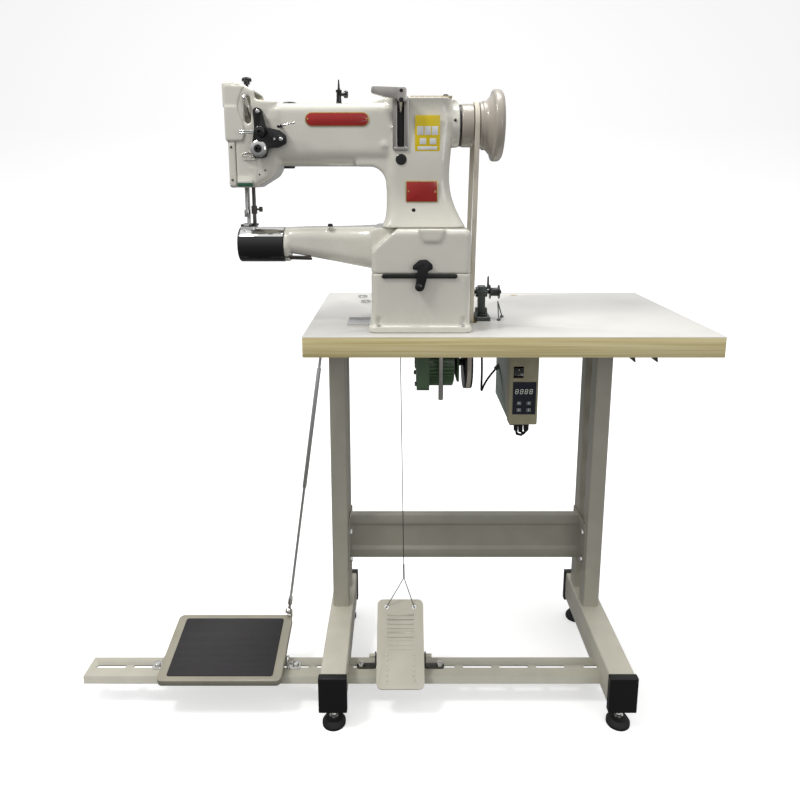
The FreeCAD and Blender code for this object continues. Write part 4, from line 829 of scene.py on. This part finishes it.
# %% Stand, table and sheet parts
# The floor runners and the lift pedal take the lighter copy of the stand paint, which is painted light. The
# crossbeam and the treadle take darker copies, which are painted shade.
EASED = {"table_top": (table_board, 0.8), "side_posts": (stand_paint, 1.4),
         "floor_runners": (stand_paint_lit, 1.4), "crossbeam": (stand_paint_shaded_beam, 0.8),
         "floor_bar": (stand_paint, 1.0), "runner_caps": (black_plastic, 1.0),
         "top_cover": (cover_bronze, 0.8), "stitch_slot_plate": (brushed_plate, 0.5),
         "take_up_lever": (chrome, 0.5), "presser_bar": (dark_steel, 0.4),
         "presser_foot": (dark_steel, 0.5), "walking_foot": (chrome, 0.4),
         "needle_bar": (ground_steel, 0.3), "needle_plate": (chrome, 0.6),
         "hook_cover": (black_gloss, 0.8), "winder_base": (winder_paint, 0.7),
         "winder_arm": (winder_paint, 0.8), "winder_wheel": (black_satin, 0.5),
         "motor_pulley": (black_satin, 0.5), "control_box": (box_green, 1.0),
         "rocker_switch": (black_gloss, 0.6), "cross_shaft": (zinc, 0.4),
         "pitman_rod": (chrome, 0.4), "treadle": (stand_paint_shaded_treadle, 1.2),
         "lift_pedal": (stand_paint_lit, 1.0), "v_belt": (belt_canvas, 0.7),
         "treadle_mat": (mat_rubber, 0.5)}
for node, (finish, width) in EASED.items():
    refine(node, finish, width)

# %% [markdown]
# ## Brackets
# Some frame nodes hold several loose solids that have different finishes on the real machine: the
# motor's mount is green while the shaft hangers beside it are bare. A copy is made for each finish,
# and the solids that don't belong to it are dropped by where they stand.

# %% Brackets
MOTOR_LEFT, MOTOR_RIGHT = 200, 330
hangers = Shape.of("under_table_brackets")
hangers.keep(lambda p: not MOTOR_LEFT < p.x < MOTOR_RIGHT).ease(0.6)
hangers.done("table_hangers", "machine", dark_steel, "zinc_steel", "under_table_brackets")
mount = Shape.of("under_table_brackets")
mount.keep(lambda p: MOTOR_LEFT < p.x < MOTOR_RIGHT).ease(0.8)
mount.done("motor_mount", "machine", motor_green, "motor_paint")
treadle_ears = Shape.of("pedal_brackets").keep(lambda p: p.x < 0).ease(0.5)
treadle_ears.done("treadle_brackets", "machine", chrome, "zinc_steel", "pedal_brackets")
pedal_ears = Shape.of("pedal_brackets").keep(lambda p: p.x > 0).ease(0.5)
pedal_ears.done("pedal_straps", "machine", dark_steel, "zinc_steel")

# %% [markdown]
# ## Shafts, hook and wire
# These parts are hidden in the castings or so thin that a bevel would not show. Their frame meshes are
# kept as they are, and only the finish changes.

# %% Parts that stay as they are
for node, finish in {"main_shaft": ground_steel, "lower_shaft": ground_steel, "rotary_hook": chrome,
                     "bobbin_case": chrome, "timing_belt": soft_black, "needle": chrome,
                     "feed_dog": ground_steel, "lift_wire": dark_steel}.items():
    dress(node, finish)
    print("dressed", node)

# %% [markdown]
# ## Head latch
# The latch is a cast key with a fan-shaped head and a round handle. Its outline is drawn as corners
# with their own radii, then given thickness, as if it were cut from plate and filed round.

# %% Head latch
latch = Shape()
latch.plate([(211.5, 957.5, 9), (229, 957.5, 9), (236, 984, 6), (238, 996, 3), (246.5, 1000, 2),
             (246, 1009, 4), (235, 1018, 7), (221, 1017, 7), (209, 1006, 4), (208.5, 999, 2),
             (218, 998, 3), (216.5, 984, 6)],
            "Y", (24, 31), 1.6)
latch.turn([(20.6, 0), (20.9, 5), (22, 7), (24.2, 7)], (220, 0, 966), "Y", 40)
latch.turn([(23, 0), (23, 2.2), (24.4, 2.6)], (229, 0, 1007), "Y", 24)
latch.rod((220, 30, 966), (220, 35.6, 966), 5)
latch.done("latch_lever", "latch", black_gloss, "black_enamel", "head_latch")

# %% [markdown]
# ## The handwheel
# It is turned from one casting: a smooth band beside the arm, the belt groove, a small step, then a
# flare to the heavy rim. A lathe makes it in one go, and so does spin: half a cross-section is drawn
# and carried once round the shaft. The profile closes on itself, because the hub is bored through.

# %% Handwheel
wheel = Shape()
wheel.turn([(303, 10.2), (303, 38), (304.2, 40.6), (306, 41.3), (322, 41.3), (326, 41), (328, 35.6),
            (337, 35.6), (339, 44), (344, 44.3), (345.2, 46.6), (351.5, 46.8), (354, 48.6),
            (357, 52.4), (361, 56.8), (363, 59),
            (363.4, 65), (365, 67.6), (368.5, 68.6), (375, 68.6), (379.5, 67), (382.6, 63), (383, 59.4),
            (379, 53), (374, 47), (370.5, 38), (369, 27), (370.5, 23), (374, 22.4), (382.5, 22.2),
            (384, 20.8), (384, 11.4), (382.6, 10.4)], (0, MID, SHAFT), "X", 96)
for i in range(6):
    a = math.tau * i / 6
    spot = (371.5, MID + 33 * math.cos(a), SHAFT + 33 * math.sin(a))
    wheel.ball(spot, 4.5, (0.45, 1, 1))
wheel.done("handwheel_rim", "shaft_train", wheel_paint, "handwheel_paint", "handwheel", smooth=50)
nut = Shape().hexagon((380, MID, SHAFT), (386.5, MID, SHAFT), 15)
nut.rod((372, MID, SHAFT), (380.5, MID, SHAFT), 10)
nut.done("handwheel_nut", "shaft_train", chrome, "bright_steel")

# %% [markdown]
# ## Thread tensions
# Each tension is a pair of dished discs pressed together by a thumb nut on a split stud. The nut is
# knurled so that fingers can turn it. Bump could fake the knurl, but it shows in outline, so the teeth
# are real: many small rods round the edge of a turned nut.

# %% Thread tensions
def knurled(shape, at, radius, front, deep, count):
    """A thumb nut with ridges, its axis along Y."""
    x, z = at
    shape.turn([(front, 0), (front, radius * 0.82), (front + 0.8, radius * 0.95), (front + 1.6, radius),
                (front + deep - 1, radius), (front + deep, radius * 0.9), (front + deep, 0)],
               (x, 0, z), "Y", 48)
    for i in range(count):
        a = math.tau * i / count
        u, v = x + radius * math.cos(a), z + radius * math.sin(a)
        shape.rod((u, front + 1.4, v), (u, front + deep - 1, v), 0.75, sides=8, ease=0)
    return shape


def dished(shape, at, radius):
    """Two facing discs with flared lips, their axis along Y."""
    x, z = at
    for back, way in ((66, -1), (60.5, 1)):
        shape.turn([(back, 0), (back, radius * 0.55), (back + way * 1.6, radius * 0.8),
                    (back + way * 1.2, radius), (back + way * 0.4, radius), (back + way * 0.7, radius * 0.8),
                    (back - way * 0.9, radius * 0.5), (back - way * 0.9, 0)], (x, 0, z), "Y", 64)
    return shape


UPPER, LOWER = (-74, 1253), (-79, 1222)
upper = knurled(dished(Shape(), UPPER, 11), UPPER, 9.2, 44, 10, 36)
upper.rod((-74, 50, 1253), (-74, 61, 1253), 6)
upper.done("upper_tension_nut", "upper_tension", black_gloss, "black_enamel", "upper_tension")
lower = dished(Shape(), LOWER, 15)
cup = [(52, 0), (52, 9), (53, 13.2), (54.4, 15), (55.4, 15.2), (55.8, 13), (56.5, 8), (60, 7), (60, 0)]
lower.turn(cup, (LOWER[0], 0, LOWER[1]), "Y", 64)
lower.done("lower_tension_disc", "lower_tension", chrome, "bright_steel", "lower_tension")
knurled(Shape(), LOWER, 7, 48, 5, 28).done("lower_tension_hub", "lower_tension", black_gloss,
                                           "black_enamel")

carrier = Shape.of("tension_plate").ease(0.8)
carrier.rod((-50.5, 66.8, 1240), (-50.5, 68.2, 1240), 4.6)
carrier.done("tension_carrier", "machine", black_gloss, "black_enamel", "tension_plate")
carrier_screws = Shape()
for x, z in ((-80, 1290), (-38, 1240)):
    carrier_screws.turn([(62.4, 0), (62.6, 2.2), (63.4, 3.6), (64.3, 4)], (x, 0, z), "Y", 32)
for x, z in (UPPER, LOWER):
    carrier_screws.rod((x, 40, z), (x, 50, z), 2.9, ease=0.6)
carrier_screws.rod((-50.5, 66.2, 1240), (-50.5, 67.4, 1240), 2.2)
carrier_screws.done("carrier_screws", "machine", chrome, "bright_steel")

# %% [markdown]
# ## Thread guides
# Thread runs from the stand to the needle through eyes and pins. All of them are polished, because
# a rough spot would fray the thread. Bent wires are rods with a ball at each bend, which closes the
# corner; a curve would do as well, but then the wire would be an object apart from its neighbours.

# %% Thread guides
pins = Shape()
pins.rod((-114, 64, 1254.6), (-89, 64, 1254.6), 1.8).rod((-114, 64, 1250.6), (-89, 64, 1250.6), 1.8)
pins.block((-92, 61, 1248.5), (-87.5, 68, 1256.5), 0.8)
pins.ball((-114, 64, 1254.6), 2.2).ball((-114, 64, 1250.6), 2.2)
pins.rod((-44, 66, 1263), (-12, 60, 1269), 2, 1.6).ball((-12, 60, 1269), 2.6)
pins.wire([(-114, 80, 1211), (-110, 76, 1210), (-102, 75, 1209), (-94, 76, 1207), (-92, 82, 1206)], 1.1)
pins.wire([(-108, 76, 1209.6), (-108, 75, 1214), (-104, 76, 1216), (-100, 82, 1215)], 1.0)
pins.done("thread_pins", "machine", chrome, "bright_steel", "thread_guides")
oval = []
for i in range(25):
    a = math.tau * i / 24 + 0.01
    side = 8 if math.cos(a) > 0 else -8
    oval.append((-101.5 + side + 6.6 * math.cos(a), 81.6, 1209 + 6.6 * math.sin(a)))
Shape().wire(oval, 1.1).done("guide_recess_rim", "machine", cream, "cream_enamel")
post = Shape()
post.turn([(1308, 0), (1308, 7.5), (1311, 7.5), (1312, 5.4), (1322, 4.6), (1331, 4.6), (1333, 6),
           (1336, 6), (1337, 3), (1340, 2.2), (1355, 1.2), (1356, 0)], (66, MID, 0), "Z", 40)
post.turn([(66, 0), (66, 3.4), (75, 3.4), (76, 6.4), (77.5, 7.2), (82, 7.2), (84, 5.6), (84, 0)],
          (0, MID, 1328), "X", 40)
post.rod((-44, 66.4, 1262.8), (-35, 64.9, 1264.6), 3.2).rod((-40, 66, 1264), (-40, 80, 1264), 3)
post.done("thread_post", "machine", black_gloss, "black_enamel")

# %% [markdown]
# ## Caps and plugs
# Oil holes are closed with pressed plastic caps, the only matt black spots on the castings. Each cap
# is a small turned profile with a soft rim. They are one mesh, since one finish covers them all.

# %% Caps and plugs
caps = Shape()
caps.turn([(1307, 0), (1307, 15), (1309.6, 15), (1312, 13.4), (1313.6, 9), (1314, 0)],
          (-30, MID, 0), "Z", 48)
caps.turn([(1187, 0), (1187, 9.4), (1188.5, 11), (1191.6, 11), (1191.6, 0)], (-34, MID, 0), "Z", 40)
caps.turn([(72.2, 0), (72.2, 9), (73.2, 10.4), (77, 10.4), (77, 0)], (187, 0, 1203), "Y", 40)
caps.block((150, 32.5, 981), (294, 36.4, 989.5), 0.9, corner=("Y", 4.1))
caps.turn([(1074, 0), (1074, 5), (1079, 5), (1080.4, 3.6), (1080.4, 0)], (48, 98, 0), "Z", 32)
caps.turn([(1317, 0), (1317, 5.4), (1324, 5.2), (1325, 3.6), (1325, 0)], (272, 104, 0), "Z", 32)
caps.rod((-84, 81, 1175), (-84, 82.3, 1175), 1.6).rod((-73, 81, 1183), (-73, 82.3, 1183), 1.6)
caps.rod((211, 74, 1108), (211, 70.2, 1108), 3.6)
caps.turn([(300.2, 12), (300.2, 40), (302.4, 40), (302.4, 12)], (0, MID, SHAFT), "X", 48)
caps.rod((290, 88.6, 1276), (290, 86.6, 1276.4), 2.6)
caps.done("oil_caps", "machine", black_satin, "black_plastic", "caps_and_strip")
links = Shape().rod((-46, 106, 1015), (8, 106, 1013.6), 2.4)
links.rod((-46, 118, 1010), (8, 118, 1008.6), 2.4)
links.done("bed_links", "machine", dark_steel, "steel")
plug = Shape().turn([(1311, 0), (1311, 4.6), (1315, 4.2), (1316, 0)], (-77, 92, 0), "Z", 24)
plug.done("head_plug", "machine", cover_bronze, "cover_plate")

# %% [markdown]
# ## Plates
# Two red enamel plates in gold rims are held by rivets. They carry no words here. A yellow film with
# plain white fields stands for the instruction label. Field, rim and rivets stand at slightly
# different heights, so that each catches light on its own edge.

# %% Plates
def rimmed(low, high, corner, name):
    """A red enamel field in a raised gold rim with two rivets, facing the front."""
    (x0, y, z0), (x1, _, z1) = low, high
    rim = Shape().block((x0, y - 1.0, z0), (x1, y + 1, z1), 0.4, corner=("Y", corner))
    middle = (z0 + z1) / 2
    for x in (x0 + 5, x1 - 5):
        rim.turn([(y - 2.2, 0), (y - 2.0, 1.1), (y - 1.1, 1.9)], (x, 0, middle), "Y", 24)
    rim.done(f"{name}_rim", "machine", gold_rim, "bright_plate")
    inside = corner - 1.4 if corner > 3 else 1.0
    field = Shape().block((x0 + 1.6, y - 1.3, z0 + 1.6), (x1 - 1.6, y, z1 - 1.6), 0.2, corner=("Y", inside))
    return field


name_plate = rimmed((6, 79.6, 1264), (127, 79.6, 1290), 12.8, "name_plate")
name_plate.done("name_plate_field", "machine", red_enamel, "red_plate", "label_plates")
data_plate = rimmed((196, 73.6, 1123), (257, 73.6, 1163), 2.4, "data_plate")
data_plate.done("data_plate_field", "machine", red_enamel, "red_plate")
film = Shape().block((213, 73.6, 1218), (260, 76, 1284), 0.2, corner=("Y", 2))
film.done("label_film", "machine", yellow_film, "red_plate")
fields = Shape()
for x0, x1, z0, z1 in ((217, 229, 1248, 1264), (231, 243, 1248, 1264), (245, 256.5, 1248, 1264),
                       (222, 234, 1231, 1242), (241, 253, 1231, 1242), (218, 255, 1221, 1227)):
    fields.block((x0, 73.3, z0), (x1, 73.8, z1), 0.1)
fields.done("label_fields", "machine", white_print, "red_plate")

# %% [markdown]
# ## Stitch lever, knob and guard
# The lever that sets the stitch length is die cast, with a short handle that points to the left. It
# swings up and down in the slotted plate. The knob on the head sets the foot's pressure and is turned
# like the wheel. The green strip is the guard under the head, built as two thin eased blocks.

# %% Controls
lever = Shape.of("stitch_lever", 0)
lever.ease(1.6)
lever.done("stitch_lever_cast", "stitch_lever", die_cast, "cast_lever", "stitch_lever", smooth=50)
lever_pins = Shape().turn([(47.6, 0), (48, 3.4), (50.4, 4.4)], (187, 0, 1325), "Y", 32)
lever_pins.turn([(45.6, 0), (46, 3.6), (48.4, 4.6)], (187, 0, 1309), "Y", 32)
lever_pins.done("lever_pins", "stitch_lever", black_gloss, "black_enamel")
slot_dark = Shape().block((179.6, 76.2, 1227), (192.4, 77, 1311), 0.2)
slot_dark.done("slot_shadow", "machine", soft_black, "black_plastic")
knob = Shape()
knob.turn([(1328, 0), (1328, 3), (1346, 3), (1346.4, 6), (1351, 6), (1351.6, 8.4), (1353, 9.4), (1356, 9.6),
           (1358.6, 8), (1360, 4), (1360.2, 0)], (-112, MID, 0), "Z", 40)
knob.done("pressure_knob_cap", "pressure_knob", black_gloss, "black_enamel", "pressure_knob")
guard_front = Shape().block((-125, 76, 1152.5), (-97, 82, 1159), 0.8)
guard_front.done("guard_front", "machine", guard_green, "black_enamel")
guard_top = Shape().block((-125.5, 75.6, 1159), (-96.5, 82, 1164.5), 0.8)
guard_top.done("guard_top", "machine", white_paint, "cream_enamel")

# %% [markdown]
# ## Screws and bolts
# Hexagon heads hold the stand together, and each levelling foot is a black disc on a threaded stud
# with two nuts. A hexagon is a six-sided rod, and its bevel gives the chamfer that real nuts have.

# %% Screws and bolts
bolts = Shape.of("fasteners").ease(0.4)
bolts.done("bolt_heads", "machine", chrome, "bright_steel", "fasteners")
feet = Shape.of("levelling_feet").ease(0.6)
feet.done("feet_discs", "machine", soft_black, "foot_rubber", "levelling_feet")
nuts = Shape()
for x in (43.5, 653.5):
    for y in (24, 376):
        nuts.hexagon((x, y, 32.6), (x, y, 40.4), 18.2)
        nuts.hexagon((x, y, 62.6), (x, y, 69), 14)
        nuts.rod((x, y, 27), (x, y, 69), 5.1)
nuts.done("feet_nuts", "machine", chrome, "bright_steel")

# %% [markdown]
# ## Foothold on the lift pedal
# Two rows of pips and seven ribs keep a shoe from slipping. They are set out on a level pedal, where
# the spacing is easy to write, and then the whole set is tilted about the pedal's pivot.

# %% Foothold bumps on the lift pedal
PEDAL_PIVOT = (186, 105, 116)
PEDAL_SLOPE = 43.9       # degrees
bumps = Shape()
for x in (157, 215):
    for i in range(6):
        bumps.ball((x, 52 + 10 * i, 151.6), 3.4, (1, 1, 0.45))
for i in range(7):
    bumps.rod((160, 112 + 9 * i, 151.4), (212, 112 + 9 * i, 151.4), 1.5, sides=12, ease=0)
bumps.tilt(PEDAL_PIVOT, PEDAL_SLOPE)
# The pips take the lift pedal's lighter copy of the stand paint, which is painted light.
bumps.done("pedal_bumps", "lift_pedal", stand_paint_lit, "stand_paint")

# %% [markdown]
# ## Motor
# The motor hangs under the table: a smooth green end shield towards the operator's left, and a
# finned barrel behind it that sheds heat. The body is the frame's own with eased edges. Long bolts
# hold it, and their threads are thin rings rather than a helix, which nobody could tell apart here.

# %% Motor
refine("motor_body", motor_green, 0.8)
hanging = Shape()
for y in (145, 265):
    hanging.rod((272, y, 703), (272, y, 826), 4.9)
    hanging.hexagon((272, y, 812), (272, y, 822), 16.5)
    for i in range(16):
        hanging.rod((272, y, 705 + 3 * i), (272, y, 706.2 + 3 * i), 5.3, sides=20, ease=0)
hanging.done("motor_bolts", "machine", zinc, "zinc_steel")
corner_bolts = Shape()
for y, z in ((161, 733), (249, 733), (161, 808), (249, 808)):
    corner_bolts.hexagon((216.4, y, z), (221.4, y, z), 9)
corner_bolts.turn([(217, 0), (217.4, 12), (219, 15), (221.2, 16)], (0, 205, 770), "X", 48)
corner_bolts.done("motor_shield_bolts", "machine", motor_green, "motor_paint")

# %% [markdown]
# ## Control box
# The speed control has a painted steel body and a plastic front with a rocker, a dark panel with
# four lit digits, and four keys. The panel film is laid as strips round the keys, so that each key
# can go down through its own window. Below hang the plugs of its leads.

# %% Control box
refine("control_front", beige_plastic, 0.8)
KEYS = [(453.0, 671.0), (475.0, 671.0), (453.0, 655.0), (475.0, 655.0)]
panel = Shape()
for low, high in ((644.4, 650.6), (659.4, 666.6), (675.4, 720.6)):
    panel.block((438.4, 214.1, low), (490.6, 214.9, high), 0)
for low, high in ((650.6, 659.4), (666.6, 675.4)):
    for left, right in ((438.4, 447.6), (458.4, 469.6), (480.4, 490.6)):
        panel.block((left, 214.1, low), (right, 214.9, high), 0)
panel.done("panel_film", "machine", navy_panel, "beige_plastic")
SEGMENTS = {"a": (0.7, 5, 4.6, 0), "g": (0, 0, 4.6, 0), "d": (-0.7, -5, 4.6, 0), "f": (-2.3, 2.5, 0, 4),
            "b": (3.1, 2.5, 0, 4), "e": (-3.1, -2.5, 0, 4), "c": (2.3, -2.5, 0, 4)}
digits = Shape()
for place in range(4):
    for dx, dz, wide, high in SEGMENTS.values():
        x, z = 447.6 + place * 10.6 + dx, 698 + dz
        reach, rise = wide / 2 + 0.35, high / 2 + 0.35
        digits.block((x - reach, 213.9, z - rise), (x + reach, 214.3, z + rise), 0.1)
digits.done("lit_digits", "machine", digit_glow, "beige_plastic")
box_trim = Shape().hexagon((463, 216.5, 815), (463, 212.6, 815), 15)
box_trim.rod((463, 216, 815), (463, 211, 815), 4)
for x in (448, 472):
    for i in range(5):
        top = 622 - 4 * i
        box_trim.turn([(top - 3, 0), (top - 3, 6.6 - i * 0.5), (top, 7 - i * 0.5), (top, 0)],
                      (x, 261, 0), "Z", 24)
for x, y, low in ((452, 244, 594), (464, 250, 588), (474, 242, 596)):
    box_trim.rod((x, y, 640), (x + 2, y + 3, low), 6.2, 5, 20, 0.8)
box_trim.wire([(454, 247, 596), (458, 252, 583), (468, 254, 580), (476, 252, 588), (478, 256, 604)], 3.0)
box_trim.wire([(466, 253, 590), (474, 258, 581), (484, 262, 590), (486, 268, 610)], 2.6)
box_trim.done("box_plugs", "machine", soft_black, "black_plastic")
band = Shape().block((431.6, 246, 640), (432.2, 262, 826), 0.2)
band.done("box_band", "machine", beige_plastic, "box_paint")
window = Shape().block((444, 214.6, 712.5), (486, 215.1, 714), 0.2)
window.done("box_window", "machine", white_print, "box_paint")
rocker_marks = Shape().block((449.6, 211.6, 747), (451.2, 212.6, 750.5), 0.1)
rocker_marks.ball((450.4, 212.4, 736), 1.5, (1, 0.3, 1))
rocker_marks.done("rocker_marks", "rocker", white_print, "black_plastic")
for number, (x, z) in enumerate(KEYS, start=1):
    body = f"key_{number}"
    cap = Shape().block((x - 5, 213.6, z - 4), (x + 5, 217.6, z + 4), 0.4, corner=("Y", 1.0))
    cap.done(f"key_cap_{number}", body, key_grey, "key_plastic", body)
    mark = Shape()
    for side in (-1, 1):
        mark.block((x - 4.4, 213.3, z + side * 3.2 - 0.3), (x + 4.4, 213.7, z + side * 3.2 + 0.3), 0.1)
        mark.block((x + side * 4.2 - 0.3, 213.3, z - 3.4), (x + side * 4.2 + 0.3, 213.7, z + 3.4), 0.1)
    mark.ball((x, 213.6, z), 2.1, (1, 0.15, 1))
    if number % 2:
        mark.block((x - 3.4, 213.3, z - 0.4), (x + 3.4, 213.7, z + 0.4), 0.1)
    else:
        mark.block((x - 0.4, 213.3, z - 2.8), (x + 0.4, 213.7, z + 2.8), 0.1)
    mark.done(f"key_mark_{number}", body, white_print, "key_plastic")
